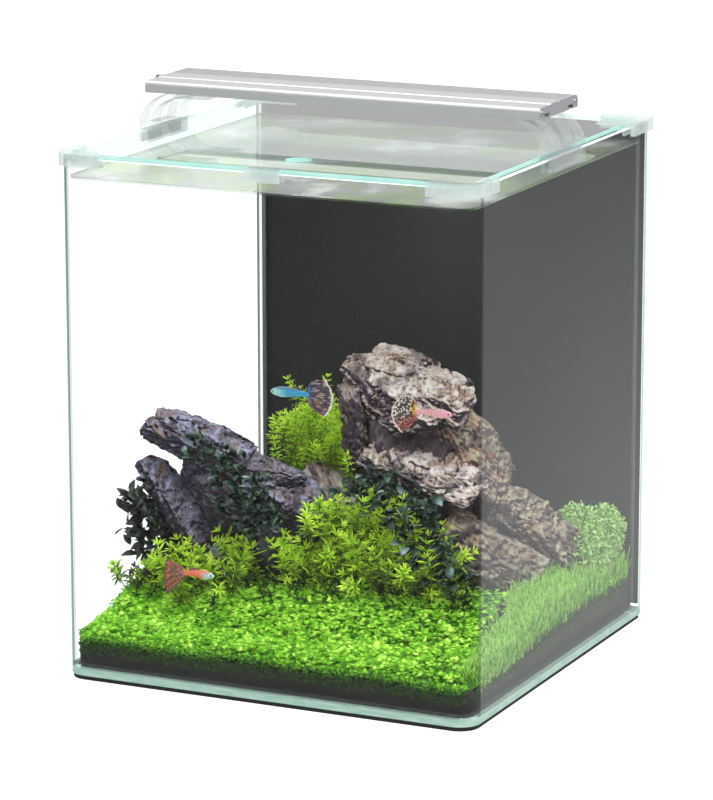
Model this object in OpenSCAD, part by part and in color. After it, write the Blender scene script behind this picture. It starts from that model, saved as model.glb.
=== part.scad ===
// Bent-glass nano aquarium: tank on a thin mat, cover glass on rim clips, slim lamp on two
// clear rim brackets, and a planted interior with rocks and three fish.
// Origin: middle of the underside. +Z is up, the front faces -Y, the right side faces +X.

/* [Tank] */
// Outer width of the glass tank
tank_w = 300; // [240:5:400]
// Outer depth of the glass tank
tank_d = 300; // [240:5:400]
// Height of the glass rim above the surface it stands on
rim_h = 356; // [300:1:440]
// Thickness of the bent wall pane and of the back pane
glass_t = 4; // [3:0.5:5]
// Thickness of the floor pane
floor_t = 5; // [4:0.5:8]
// Outer radius of the two bent front corners
corner_r = 15; // [12:1:30]
// Thickness of the mat under the floor pane
mat_t = 3; // [2:0.5:6]
// How far the mat's edge sits back from the edge of the floor pane
mat_inset = 1; // [0:0.5:5]
// Width of the silicone bead around the floor
floor_bead_w = 2; // [1.5:0.5:4]
// Width of the silicone beads up the back corners
back_bead_w = 3; // [2:0.5:5]
// Thickness of the dark film on the back pane
film_t = 0.4; // [0.2:0.1:1]
// Bare border of the back pane around the film
film_margin = 2; // [1:1:10]

/* [Cover glass] */
// Thickness of the cover glass
cover_t = 3; // [2:0.5:5]
// Gap between the cover's edge and the inner face of the walls
cover_gap = 2.5; // [2.3:0.1:5]
// How far the cover's underside lies below the rim
cover_sink = 0.4; // [0:0.1:2]
// Diameter of the finger hole
finger_hole_d = 18; // [16:1:40]
// Distance from the cover's front edge to the middle of the finger hole
finger_hole_setback = 38; // [25:1:80]
// Sideways place of the finger hole
finger_hole_x = 6; // [-40:1:40]

/* [Rim clips] */
// Thickness of the clips' outer jaws
clip_wall = 3; // [2:0.5:5]
// Thickness of the clips' inner jaws
clip_inner = 1.6; // [1.2:0.1:1.9]
// Clearance between a clip and the glass
clip_gap = 0.2; // [0.1:0.05:0.3]
// How far the clips reach down over the glass
clip_drop = 5.5; // [4:0.5:15]
// Height of the clips above the rim
clip_rise = 3.2; // [2:0.1:5]
// How far the ledge under the cover reaches inwards
ledge_reach = 8; // [4:0.5:15]
// Thickness of the ledge under the cover
ledge_t = 1.8; // [1.2:0.1:3]
// Length of each arm of a corner clip, from the outside
corner_clip_arm = 36; // [26:1:50]
// Length of the clip in the middle of the front
middle_clip_l = 24; // [15:1:40]
// Sideways place of the middle clip
middle_clip_x = 2; // [-20:1:20]

/* [Lamp housing] */
// Length of the lamp over its end caps
lamp_l = 290; // [240:5:360]
// Front to back width of the lamp
lamp_w = 66; // [62:1:90]
// Thickness of the lamp
lamp_t = 8.5; // [8.5:0.5:14]
// Height of the lamp's underside above the rim
lamp_rise = 27; // [20:1:50]
// Thickness of the end caps
cap_t = 1.5; // [1:0.1:3]
// Wall over the lamp's cavities
lamp_skin = 1.5; // [1:0.1:2]
// Width of the light opening between its lips
lens_opening = 26; // [20:1:28]
// Number of LEDs in each of the two rows
leds_per_row = 12; // [6:1:20]
// Bore of the cable gland
gland_bore_d = 4.5; // [3:0.1:5]
// Outer diameter of the cable gland
gland_d = 7; // [6:0.1:8]
// How far the gland stands out of the end cap
gland_l = 8; // [4:0.5:8]

/* [Lamp brackets] */
// Length of a bracket along the rim
bracket_l = 56; // [50:1:64]
// Width of each bracket leg along the rim
leg_w = 15; // [12:1:17]
// Thickness of a leg where it leaves the base
leg_root_t = 8.5; // [6:0.5:9]
// Thickness of the arms under the lamp
arm_t = 3.5; // [2:0.5:5]
// How far the bend reaches inwards from the leg's outer face
bend_reach = 30; // [20:1:40]
// Length of the straight arm beyond the bend
arm_l = 22; // [16:1:30]
// Height of the bracket's base above the rim
base_rise = 4; // [3:0.5:6]
// How far the bracket's jaws reach down over the glass
jaw_drop = 8; // [5:0.5:15]
// Thickness of the bracket's inner jaw
jaw_inner_t = 1; // [0.8:0.1:1.2]
// Thickness of the soft liner in the jaws
pad_t = 0.7; // [0.5:0.1:0.8]
// Height of the ribs along the legs
rib_h = 0.7; // [0.4:0.1:1]

/* [Planting] */
// Depth of the substrate at the front
bed_front = 18; // [12:1:40]
// Depth of the substrate at the back
bed_rear = 24; // [16:1:60]
// Height of the mound under the rocks
mound_h = 30; // [10:1:45]
// Height of the foreground carpet
carpet_t = 6; // [4:1:12]
// Gap between the planting and the glass
bed_gap = 0.3; // [0.2:0.1:1]

/* [Hidden] */

fine = 96;            // facets of a full circle on visible curves
eps = 0.01;           // overlap that keeps joined solids whole
half_w = tank_w / 2;
half_d = tank_d / 2;
floor_top = mat_t + floor_t;
inner_x = half_w - glass_t;              // inner face of the side walls
inner_y = half_d - glass_t;              // inner face of the front wall and of the back pane
clip_out = clip_gap + clip_wall;         // outermost face of clips and brackets, from the glass
cover_in = glass_t + cover_gap;          // from the outer face of the glass to the cover's edge
cover_z = rim_h - cover_sink;            // underside of the cover glass
lamp_z = rim_h + lamp_rise;              // underside of the lamp
lamp_top = lamp_z + lamp_t;

// ---- shared outlines ----

// Plan of the tank moved inwards by inset: rounded front corners, square back corners.
// back is where the plan ends behind.
module plan(inset, back) {
    w = half_w - inset;
    front = -half_d + inset;
    r = max(corner_r - inset, 0.5);
    translate([-w, front + r]) square([2 * w, back - front - r]);
    translate([-w + r, front]) square([2 * (w - r), r + eps]);
    for (side = [-1, 1])
        translate([side * (w - r), front + r]) circle(r = r, $fn = fine);
}

// ---- tank ----

module base_mat() {
    color("#1c1c1e") linear_extrude(mat_t) plan(mat_inset, half_d - mat_inset);
}

module floor_pane() {
    color("#bfe3d6", 0.6) translate([0, 0, mat_t]) linear_extrude(floor_t) plan(0, half_d);
}

// One sheet bent round the left side, the front and the right side.
module wall_pane() {
    color("#cfeee4", 0.35) translate([0, 0, floor_top]) linear_extrude(rim_h - floor_top)
        difference() {
            plan(0, inner_y);
            plan(glass_t, half_d);
        }
}

module back_pane() {
    color("#cfeee4", 0.35) translate([-half_w, inner_y, floor_top])
        cube([tank_w, glass_t, rim_h - floor_top]);
}

module background_film() {
    color("#2a2a2c") translate([-half_w + film_margin, half_d, floor_top + film_margin])
        cube([tank_w - 2 * film_margin, film_t, rim_h - floor_top - 2 * film_margin]);
}

module floor_bead() {
    color("#dfe6e4", 0.6) translate([0, 0, floor_top]) linear_extrude(floor_bead_w)
        difference() {
            plan(glass_t, inner_y);
            plan(glass_t + floor_bead_w, inner_y - floor_bead_w);
        }
}

module back_beads() {
    bead_z = floor_top + floor_bead_w;
    for (side = [-1, 1])
        color("#dfe6e4", 0.6) translate([0, 0, bead_z]) linear_extrude(rim_h - bead_z - clip_drop - 1)
            polygon([[side * inner_x, inner_y], [side * (inner_x - back_bead_w), inner_y],
                [side * inner_x, inner_y - back_bead_w]]);
}

// ---- cover glass ----

module cover_glass() {
    hole_y = -half_d + cover_in + finger_hole_setback;
    color("#d5f5ea", 0.4) translate([0, 0, cover_z]) difference() {
        linear_extrude(cover_t) plan(cover_in, half_d - cover_in);
        translate([finger_hole_x, hole_y, -1])
            cylinder(d = finger_hole_d, h = cover_t + 2, $fn = fine);
    }
}

// ---- rim clips ----

// Section of a rim clip swept round the whole rim: bridge and jaws round the glass and its
// film, and a ledge under the cover. Each clip cuts its own stretch out of it.
module clip_ring() {
    glass_back = half_d + film_t;
    jaw_in = glass_t + clip_gap + clip_inner;
    difference() {
        translate([0, 0, rim_h - clip_drop]) linear_extrude(clip_drop + clip_rise) difference() {
            plan(-clip_out, half_d + clip_out);
            plan(jaw_in, half_d - jaw_in);
        }
        translate([0, 0, rim_h - clip_drop - 1]) linear_extrude(clip_drop + 1) difference() {
            plan(-clip_gap, glass_back + clip_gap);
            plan(glass_t + clip_gap, inner_y - clip_gap);
        }
    }
    translate([0, 0, cover_z - ledge_t]) linear_extrude(ledge_t) difference() {
        plan(jaw_in - eps, half_d - jaw_in + eps);
        plan(jaw_in + ledge_reach, half_d - jaw_in - ledge_reach);
    }
}

// A stretch of the clip section inside the given plan rectangle.
module clip_part(low, size) {
    color("#e4ecec", 0.6) intersection() {
        clip_ring();
        translate([low.x, low.y, rim_h - clip_drop - 5]) cube([size.x, size.y, clip_drop + 15]);
    }
}

// side is -1 for left and 1 for right, end is -1 for the front and 1 for the back.
module corner_clip(side, end) {
    out_x = half_w + clip_out;
    out_y = half_d + clip_out;
    clip_part([side < 0 ? -out_x : out_x - corner_clip_arm,
        end < 0 ? -out_y : out_y - corner_clip_arm], [corner_clip_arm, corner_clip_arm]);
}

module front_left_clip() corner_clip(-1, -1);
module front_right_clip() corner_clip(1, -1);
module rear_left_clip() corner_clip(-1, 1);
module rear_right_clip() corner_clip(1, 1);
module front_middle_clip()
    clip_part([middle_clip_x - middle_clip_l / 2, -half_d - clip_out], [middle_clip_l, corner_clip_arm]);

// ---- lamp ----

nose_r = 3;               // rounding along the lamp's front edge
tail_r = 4;               // rounding along the lamp's rear edge
step_back = 19;           // from the lamp's front to the step along its top
step_h = 0.5;             // drop of the top in front of the step
rib_pitch = 2.2;          // pitch of the fine grooves along the rear of the top
rib_count = 11;           // number of those grooves
rib_cut = 0.4;            // depth of those grooves
rail_y = 20.5;            // middle of each arm rail, from the lamp's middle
rail_neck = 4;            // width of the rail's neck
rail_head = 8;            // width of the rail's head
rail_fit = 0.3;           // clearance round the rail
rail_lip = 1.2;           // thickness of the lips that hold the rail
rail_head_t = 1.3;        // thickness of the rail's head
port_y = 29;              // middle of the screw ports, from the lamp's middle
port_r = 1;               // radius of the screw ports
slide_fit = 0.05;         // running gap between faces that slide on each other
inner_l = lamp_l - 2 * cap_t;

function arc(c, r, a0, a1, n) =
    [for (i = [0:n]) c + r * [cos(a0 + (a1 - a0) * i / n), sin(a0 + (a1 - a0) * i / n)]];

// Outer section of the lamp, first coordinate front to back, second up.
function lamp_section() = concat(
    [[-lamp_w / 2, 0]],
    arc([-lamp_w / 2 + nose_r, lamp_t - step_h - nose_r], nose_r, 180, 90, 8),
    [[-lamp_w / 2 + step_back, lamp_t - step_h], [-lamp_w / 2 + step_back + step_h, lamp_t]],
    arc([lamp_w / 2 - tail_r, lamp_t - tail_r], tail_r, 90, 0, 8),
    [[lamp_w / 2, 0]]);

// Stands a front-to-back section up and runs it along X, centred.
module along_x(length) {
    rotate([90, 0, 90]) translate([0, 0, -length / 2]) linear_extrude(length) children();
}

// Slot in which a rail of the arms runs.
module rail_slot() {
    translate([-rail_neck / 2 - rail_fit, -1]) square([rail_neck + 2 * rail_fit, 2 + rail_lip]);
    translate([-rail_head / 2 - rail_fit, rail_lip])
        square([rail_head + 2 * rail_fit, rail_head_t + 2 * rail_fit]);
}

lens_lip_t = 0.8;         // thickness of the lips that hold the lens
lens_edge = 2;            // width of those lips
cavity_w = lens_opening + 2 * lens_edge;

module lamp_housing() {
    color("#b9bbbd") translate([0, 0, lamp_z]) along_x(inner_l) difference() {
        polygon(lamp_section());
        translate([-lens_opening / 2, -1]) square([lens_opening, 3]);
        translate([-cavity_w / 2, lens_lip_t]) square([cavity_w, lamp_t - lens_lip_t - lamp_skin]);
        for (side = [-1, 1]) {
            translate([side * rail_y, 0]) rail_slot();
            translate([side * port_y, lamp_t / 2]) circle(r = port_r, $fn = 24);
        }
        for (i = [0:rib_count - 1])
            translate([lamp_w / 2 - tail_r - 1 - i * rib_pitch, lamp_t - rib_cut])
                square([rib_pitch / 3, 1]);
    }
}

// side is -1 for the left cap and 1 for the right one.
module end_cap(side) {
    notch_r = 0.8;
    color("#a2a4a6") translate([side * (lamp_l - cap_t) / 2, 0, lamp_z]) along_x(cap_t)
        difference() {
            polygon(lamp_section());
            for (end = [-1, 1]) {
                translate([end * rail_y, 0]) rail_slot();
                translate([end * port_y, lamp_t / 2]) circle(r = port_r + rail_fit, $fn = 24);
            }
            translate([0, lamp_t]) circle(r = notch_r, $fn = 24);
            if (side < 0) translate([0, lamp_t / 2]) circle(d = gland_bore_d, $fn = 48);
        }
}

module left_end_cap() end_cap(-1);
module right_end_cap() end_cap(1);

module end_cap_screws() {
    head_r = 1.7;
    head_t = 0.8;
    shank_l = 8;
    color("#d8d8d8") for (side = [-1, 1], end = [-1, 1])
        translate([side * lamp_l / 2, end * port_y, lamp_z + lamp_t / 2]) rotate([0, side * 90, 0]) {
            difference() {
                cylinder(r = head_r, h = head_t, $fn = 32);
                for (turn = [0, 90]) rotate([0, 0, turn])
                    translate([-head_r * 0.7, -0.2, head_t / 2]) cube([head_r * 1.4, 0.4, head_t]);
            }
            translate([0, 0, -shank_l]) cylinder(r = port_r, h = shank_l + eps, $fn = 24);
        }
}

// Diffuser: a plate on the housing's lips with a nose that fills the opening.
module lamp_lens() {
    plate_t = 2;
    color("#f4f4f0", 0.8) translate([0, 0, lamp_z]) along_x(inner_l - 1) {
        translate([-cavity_w / 2 + 0.2, lens_lip_t]) square([cavity_w - 0.4, plate_t]);
        translate([-lens_opening / 2 + 0.2, 0.2]) square([lens_opening - 0.4, lens_lip_t]);
    }
}

board_t = 1.2;
board_z = lamp_top - lamp_skin - board_t;

module led_board() {
    color("#f2f2ee") translate([-(inner_l - 6) / 2, -cavity_w / 2 + 0.5, board_z])
        cube([inner_l - 6, cavity_w - 1, board_t]);
}

module leds() {
    led_l = 3.5;
    led_w = 2.8;
    led_t = 0.8;
    row_y = 6;
    pitch = (inner_l - 20) / leds_per_row;
    color("#fff3c0") for (row = [-1, 1], i = [0:leds_per_row - 1])
        translate([(i - (leds_per_row - 1) / 2) * pitch - led_l / 2, row * row_y - led_w / 2,
            board_z - led_t]) cube([led_l, led_w, led_t]);
}

module cable_gland() {
    color("#3a3a3c") translate([-lamp_l / 2, 0, lamp_z + lamp_t / 2]) rotate([0, -90, 0])
        difference() {
            union() {
                cylinder(d = gland_d, h = gland_l * 0.4, $fn = 48);
                cylinder(d = gland_d - 1, h = gland_l, $fn = 48);
            }
            translate([0, 0, -1]) cylinder(d = gland_bore_d, h = gland_l + 2, $fn = 48);
        }
}

// ---- lamp brackets (drawn for the right side; the left one is its mirror) ----

jaw_out = half_w + clip_out;                     // outer face of the bracket
jaw_in = inner_x - pad_t - 2 * slide_fit - jaw_inner_t;   // inner face of the inner jaw
pad_out = half_w + pad_t + slide_fit;            // outer face of the pad
pad_in = inner_x - pad_t - slide_fit;            // inner face of the pad
pad_top = rim_h + slide_fit + pad_t;
base_z = rim_h + base_rise;
arm_top = lamp_z - slide_fit;
bend_x = jaw_out - rib_h - bend_reach;           // where the bend turns into the arm

// Quarter ellipse that rises from the base and turns inwards, in the X-Z plane.
function bend(cx, a, b, from, to, n = 14) =
    [for (i = [0:n]) let (t = from + (to - from) * i / n) [cx + a * cos(t), base_z + b * sin(t)]];

// Section of a leg with its arm; grow moves the outer curve out for the ribs.
function leg_section(grow) = concat(
    [[jaw_out - rib_h + grow, base_z - 1]],
    bend(bend_x, bend_reach + grow, arm_top - base_z, 0, 90),
    [[bend_x - arm_l, arm_top], [bend_x - arm_l, arm_top - arm_t]],
    bend(bend_x - 2, bend_reach - leg_root_t + 2, arm_top - arm_t - base_z, 90, 0),
    [[jaw_out - rib_h - leg_root_t, base_z - 1]]);

// Runs an X-Z section along Y from low to low + length.
module along_y(low, length) {
    translate([0, low + length, 0]) rotate([90, 0, 0]) linear_extrude(length) children();
}

module bracket() {
    leg_y = bracket_l / 2 - leg_w;
    ribs = 4;
    rib_w = 1.2;
    rib_set_in = 0.1;     // how far the ribs stay behind the base's outer face
    along_y(-bracket_l / 2, bracket_l) difference() {
        translate([jaw_in, rim_h - jaw_drop]) square([jaw_out - jaw_in, jaw_drop + base_rise]);
        translate([pad_in - slide_fit, rim_h - jaw_drop - 1])
            square([pad_out - pad_in + 2 * slide_fit, jaw_drop + 1 + pad_top + slide_fit - rim_h]);
    }
    for (end = [0, 1]) mirror([0, end, 0]) {
        along_y(leg_y, leg_w) polygon(leg_section(0));
        for (i = [0:ribs - 1])
            along_y(leg_y + rib_w + i * (leg_w - 3 * rib_w) / (ribs - 1), rib_w)
                polygon(leg_section(rib_h - rib_set_in));
        translate([bend_x - arm_l, rail_y - rail_neck / 2, arm_top - eps])
            cube([arm_l, rail_neck, rail_lip + rail_fit + 2 * eps]);
        translate([bend_x - arm_l, rail_y - rail_head / 2, arm_top + rail_lip + rail_fit])
            cube([arm_l, rail_head, rail_head_t]);
    }
}

// Soft liner: an inverted U over the rim, a little longer than the bracket.
module rim_pad() {
    over = 1;
    along_y(-bracket_l / 2 - over, bracket_l + 2 * over) difference() {
        translate([pad_in, rim_h - jaw_drop]) square([pad_out - pad_in, pad_top - rim_h + jaw_drop]);
        translate([inner_x - slide_fit, rim_h - jaw_drop - 1])
            square([glass_t + 2 * slide_fit, jaw_drop + 1 + slide_fit]);
    }
}

module left_bracket() color("#e4ecec", 0.6) mirror([1, 0, 0]) bracket();
module right_bracket() color("#e4ecec", 0.6) bracket();
module left_rim_pad() color("#eef2f2", 0.7) mirror([1, 0, 0]) rim_pad();
module right_rim_pad() color("#eef2f2", 0.7) rim_pad();

// ---- planting ----
// Places in the planting are shares u, v of the half width and half depth inside the glass,
// each -1 to 1, and heights grow with the tank's height, so the scene fills any tank.

bed_x = inner_x - bed_gap;
bed_y = inner_y - bed_gap;
tall = (rim_h - floor_top) / 348;        // how the planting's heights follow the tank's
bead_step = floor_bead_w + bed_gap;      // room for the bead around the floor
bed_r = max(corner_r - glass_t - bed_gap, 1);
columns = 26;                            // cells across the bed
rows = 16;                               // cells from front to back
carpet_rows = 7;                         // rows that carry the carpet
carpet_v = -0.32;                        // where the carpet ends in the middle

// Surface of the substrate.
function bed_z(u, v) = floor_top + bed_front + (bed_rear - bed_front) * (v + 1) / 2
    + mound_h * tall * exp(-pow((u + 0.15) / 0.9, 2) - pow((v - 0.25) / 0.62, 2))
    + 0.7 * sin(u * 530 + v * 220) + 0.6 * sin(v * 610 - u * 150);

// Front edge of the bed at a sideways place: straight, then round the bent corner.
function bed_front_y(x) = let (k = max(0, abs(x) - (bed_x - bed_r)))
    -bed_y + bed_r - sqrt(max(bed_r * bed_r - k * k, 0));

// Sideways share of a column; columns crowd towards the round corners.
function column_u(i) = let (s = 2 * i / columns - 1) sin(90 * s) * 0.35 + s * 0.65;

// Back edge of the carpet: nearer the front in the middle, far back along the right side.
function carpet_end(u) = carpet_v + (u > 0.55 ? (u - 0.55) * 2.4 : 0) - 0.12 * cos(u * 180);

// Place of a row: even rows under the carpet, even rows from there to the back beads, and the
// last row at the back pane.
function row_y(i, j) = let (u = column_u(i), y0 = bed_front_y(u * bed_x), y1 = carpet_end(u) * bed_y,
        y2 = bed_y - back_bead_w)
    j <= carpet_rows ? y0 + (y1 - y0) * j / carpet_rows
        : j < rows ? y1 + (y2 - y1) * (j - carpet_rows) / (rows - 1 - carpet_rows) : bed_y;

// Point of the bed's grid, lifted above the substrate; the last row is clear of the back beads.
function bed_point(i, j, lift) = let (u = column_u(i), y = row_y(i, j))
    [u * (bed_x - (j == rows ? back_bead_w : 0)), y, bed_z(u, y / bed_y) + lift];

// Outline of the bed's rows 0 to last, anticlockwise from the front left.
function bed_edge(last) = concat([for (i = [0:columns]) [i, 0]], [for (j = [1:last]) [columns, j]],
    [for (i = [columns - 1:-1:0]) [i, last]], [for (j = [last - 1:-1:1]) [0, j]]);

function grid_faces(nx, ny) = [for (j = [0:ny - 1], i = [0:nx - 1]) let (a = j * (nx + 1) + i, b = a + nx + 1)
    each [[a, b, a + 1], [a + 1, b, b + 1]]];

// Closed solid between rings of equal length: first ring capped by a fan below.
function wall_faces(start, count, rings) = [for (k = [0:rings - 2], i = [0:count - 1])
    let (a = start + k * count + i, b = start + k * count + (i + 1) % count, c = a + count, d = b + count)
    each [[a, c, b], [b, c, d]]];

// Substrate: bumpy top, walls down to the floor bead, stepped in over the bead.
module substrate() {
    edge = bed_edge(rows);
    count = len(edge);
    shrink_x = (bed_x - bead_step) / bed_x;
    shrink_y = (bed_y - bead_step) / bed_y;
    step_z = floor_top + floor_bead_w + bed_gap;
    rim = [for (e = edge) bed_point(e.x, e.y, 0)];
    top = [for (j = [0:rows], i = [0:columns]) bed_point(i, j, 0)];
    at_step = [for (p = rim) [p.x, p.y, step_z]];
    in_step = [for (p = rim) [p.x * shrink_x, p.y * shrink_y, step_z]];
    foot = [for (p = rim) [p.x * shrink_x, p.y * shrink_y, floor_top]];
    tops = len(top);
    rim_ids = [for (e = edge) e.y * (columns + 1) + e.x];
    middle = tops + 3 * count;
    color("#2c2a24") polyhedron(concat(top, at_step, in_step, foot, [[0, 0, floor_top]]), concat(
        grid_faces(columns, rows),
        [for (i = [0:count - 1]) let (n = (i + 1) % count)
            each [[rim_ids[i], rim_ids[n], tops + i], [rim_ids[n], tops + n, tops + i]]],
        [for (f = wall_faces(tops, count, 3)) [f[0], f[2], f[1]]],
        [for (i = [0:count - 1]) [tops + 2 * count + i, tops + 2 * count + (i + 1) % count, middle]]));
}

// Carpet: a skin of low plants on the front rows of the bed.
module foreground_carpet() {
    top = [for (j = [0:carpet_rows], i = [0:columns]) bed_point(i, j, carpet_t)];
    under = [for (j = [0:carpet_rows], i = [0:columns]) bed_point(i, j, 0)];
    edge = bed_edge(carpet_rows);
    count = len(edge);
    ids = [for (e = edge) e.y * (columns + 1) + e.x];
    n_top = len(top);
    color("#7cb928") polyhedron(concat(top, under), concat(
        grid_faces(columns, carpet_rows),
        [for (f = grid_faces(columns, carpet_rows)) [f[0] + n_top, f[2] + n_top, f[1] + n_top]],
        [for (i = [0:count - 1]) let (n = (i + 1) % count)
            each [[ids[i], ids[n], ids[i] + n_top], [ids[n], ids[n] + n_top, ids[i] + n_top]]]));
}

// Rough outline factor round a ring: a few waves that drift from ring to ring.
function rough(t, k, seed, amount) = 1 + amount * (sin(3 * t + 70 * seed + 25 * k)
    + 0.7 * sin(5 * t - 40 * seed + 60 * k) + 0.5 * sin(8 * t + 15 * seed - 35 * k)) / 2;

// Solid lofted through stations. An upright station is [z, x, y, half x, half y], a lying one is
// [x, y, z, half y, half z]; x and y are shares of the bed, z and half heights are in mm.
module loft(stations, sides, seed, amount, lying = false) {
    rings = len(stations);
    point = function (s, t, k) let (f = rough(t, k, seed, amount)) lying
        ? [s[0] * inner_x, (s[1] + s[3] * f * cos(t)) * inner_y, (s[2] + s[4] * f * sin(t)) * tall]
        : [(s[1] + s[3] * f * cos(t)) * inner_x, (s[2] + s[4] * f * sin(t)) * inner_y, s[0] * tall];
    middle = function (s) lying ? [s[0] * inner_x, s[1] * inner_y, s[2] * tall]
        : [s[1] * inner_x, s[2] * inner_y, s[0] * tall];
    last = (rings - 1) * sides;
    polyhedron(concat([for (k = [0:rings - 1], i = [0:sides - 1]) point(stations[k], i * 360 / sides, k)],
        [middle(stations[0]), middle(stations[rings - 1])]), concat(
        wall_faces(0, sides, rings),
        [for (i = [0:sides - 1]) [i, (i + 1) % sides, rings * sides]],
        [for (i = [0:sides - 1]) [last + (i + 1) % sides, last + i, rings * sides + 1]]));
}

// Big leaning rock right of the middle; its right flank runs down to the carpet.
module main_rock() {
    color("#8d7f86") loft([[36, 0.33, 0.16, 0.50, 0.33], [56, 0.32, 0.16, 0.54, 0.34],
        [80, 0.30, 0.17, 0.52, 0.32], [104, 0.26, 0.18, 0.47, 0.30], [128, 0.24, 0.19, 0.42, 0.27],
        [150, 0.20, 0.20, 0.39, 0.25], [172, 0.15, 0.21, 0.35, 0.21], [188, 0.10, 0.22, 0.28, 0.17],
        [200, 0.07, 0.22, 0.20, 0.12], [208, 0.06, 0.22, 0.10, 0.07]], 24, 1, 0.1);
}

// Upper slab of the left rock, tip at the left.
module upper_left_rock() {
    color("#7c7280") loft([[-0.935, -0.42, 161, 0.03, 3], [-0.86, -0.40, 162, 0.08, 8],
        [-0.74, -0.38, 157, 0.11, 11], [-0.58, -0.35, 146, 0.13, 13], [-0.42, -0.31, 137, 0.14, 12],
        [-0.28, -0.27, 128, 0.13, 11], [-0.16, -0.24, 119, 0.10, 8]], 20, 2, 0.1, true);
}

// Lower slab of the left rock, tip at the left, standing in the substrate at its right.
module lower_left_rock() {
    color("#746a74") loft([[-0.95, -0.44, 132, 0.03, 4], [-0.88, -0.42, 129, 0.09, 10],
        [-0.76, -0.38, 122, 0.14, 16], [-0.62, -0.34, 110, 0.18, 28], [-0.46, -0.29, 91, 0.22, 40],
        [-0.32, -0.25, 80, 0.21, 43], [-0.18, -0.21, 72, 0.16, 37], [-0.10, -0.19, 64, 0.09, 28]],
        20, 3, 0.08, true);
}

// Soft plant mass on the bed: a rounded mound from foot to top.
module plant_mass(u, v, wide, deep, foot, top, seed) {
    levels = [0, 0.25, 0.5, 0.75, 0.92, 1];
    swell = [0.72, 0.95, 1, 0.86, 0.55, 0.25];
    low = foot / tall;                   // the foot stays at the bed's height
    loft([for (k = [0:5]) [low + (top - low) * levels[k], u, v, wide * swell[k], deep * swell[k]]],
        16, seed, 0.1);
}

module stem_plants() color("#9ccb2e") {
    plant_mass(-0.32, -0.52, 0.30, 0.10, 34, 92, 4);
    plant_mass(0.16, -0.44, 0.17, 0.13, 34, 128, 5);
    plant_mass(0.52, -0.40, 0.16, 0.10, 34, 78, 6);
}
module rear_bush() color("#a6d83a") plant_mass(-0.40, 0.30, 0.20, 0.20, 50, 172, 7);
module left_rock_leaves() color("#3f6b4e") loft([[-0.60, -0.50, 138, 0.03, 5],
    [-0.52, -0.50, 132, 0.06, 12], [-0.40, -0.48, 122, 0.07, 16], [-0.28, -0.44, 112, 0.07, 15],
    [-0.18, -0.42, 104, 0.04, 9]], 16, 8, 0.1, true);
module centre_leaves() color("#35604c") plant_mass(0.36, -0.22, 0.20, 0.09, 60, 140, 9);
module left_fern() color("#2e4a33") plant_mass(-0.86, -0.30, 0.10, 0.14, 34, 108, 10);
module corner_bush() color("#6fae3c") plant_mass(0.82, 0.76, 0.15, 0.20, 30, 94, 11);
module moss_band() color("#2f3f22") plant_mass(-0.58, -0.57, 0.26, 0.08, 30, 60, 12);

// Fish: body and fan tail as one closed solid along its length. nose_dir is 1 when the nose
// points to +X. Stations are shares of the length from nose to tail tip.
module fish(u, v, z, length, nose_dir, tail_h) {
    along = [0, 0.06, 0.16, 0.30, 0.44, 0.56, 0.64, 0.74, 0.86, 1];
    half_h = [0.4, 1.6, 2.6, 3.1, 2.6, 1.9, 1.7, tail_h * 0.55, tail_h * 0.85, tail_h];
    half_t = [0.3, 1.1, 1.7, 1.9, 1.5, 1.0, 0.7, 0.35, 0.3, 0.25];
    sides = 12;
    rings = len(along);
    last = (rings - 1) * sides;
    translate([u * inner_x, v * inner_y, z * tall]) scale([nose_dir, 1, 1])
        polyhedron(concat([for (k = [0:rings - 1], i = [0:sides - 1])
            [length * (0.5 - along[k]), half_t[k] * cos(i * 360 / sides), half_h[k] * sin(i * 360 / sides)]],
            [[length / 2 + 0.2, 0, 0], [-length / 2, 0, 0]]), concat(
            [for (f = wall_faces(0, sides, rings)) [f[0], f[2], f[1]]],
            [for (i = [0:sides - 1]) [(i + 1) % sides, i, rings * sides]],
            [for (i = [0:sides - 1]) [last + i, last + (i + 1) % sides, rings * sides + 1]]));
}

module red_fish() color("#e2502c") fish(-0.53, -0.72, 70, 38, 1, 11);
module blue_fish() color("#3a9fc0") fish(0.02, -0.66, 200, 46, -1, 12);
module pink_fish() color("#e09aa0") fish(0.60, -0.62, 195, 44, 1, 12);

base_mat();
floor_pane();
wall_pane();
back_pane();
background_film();
floor_bead();
back_beads();
cover_glass();
front_left_clip();
front_middle_clip();
front_right_clip();
rear_left_clip();
rear_right_clip();
lamp_housing();
left_end_cap();
right_end_cap();
end_cap_screws();
lamp_lens();
led_board();
leds();
cable_gland();
left_bracket();
right_bracket();
left_rim_pad();
right_rim_pad();
substrate();
main_rock();
upper_left_rock();
lower_left_rock();
foreground_carpet();
stem_plants();
rear_bush();
left_rock_leaves();
centre_leaves();
left_fern();
corner_bush();
moss_band();
red_fish();
blue_fish();
pink_fish();
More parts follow.
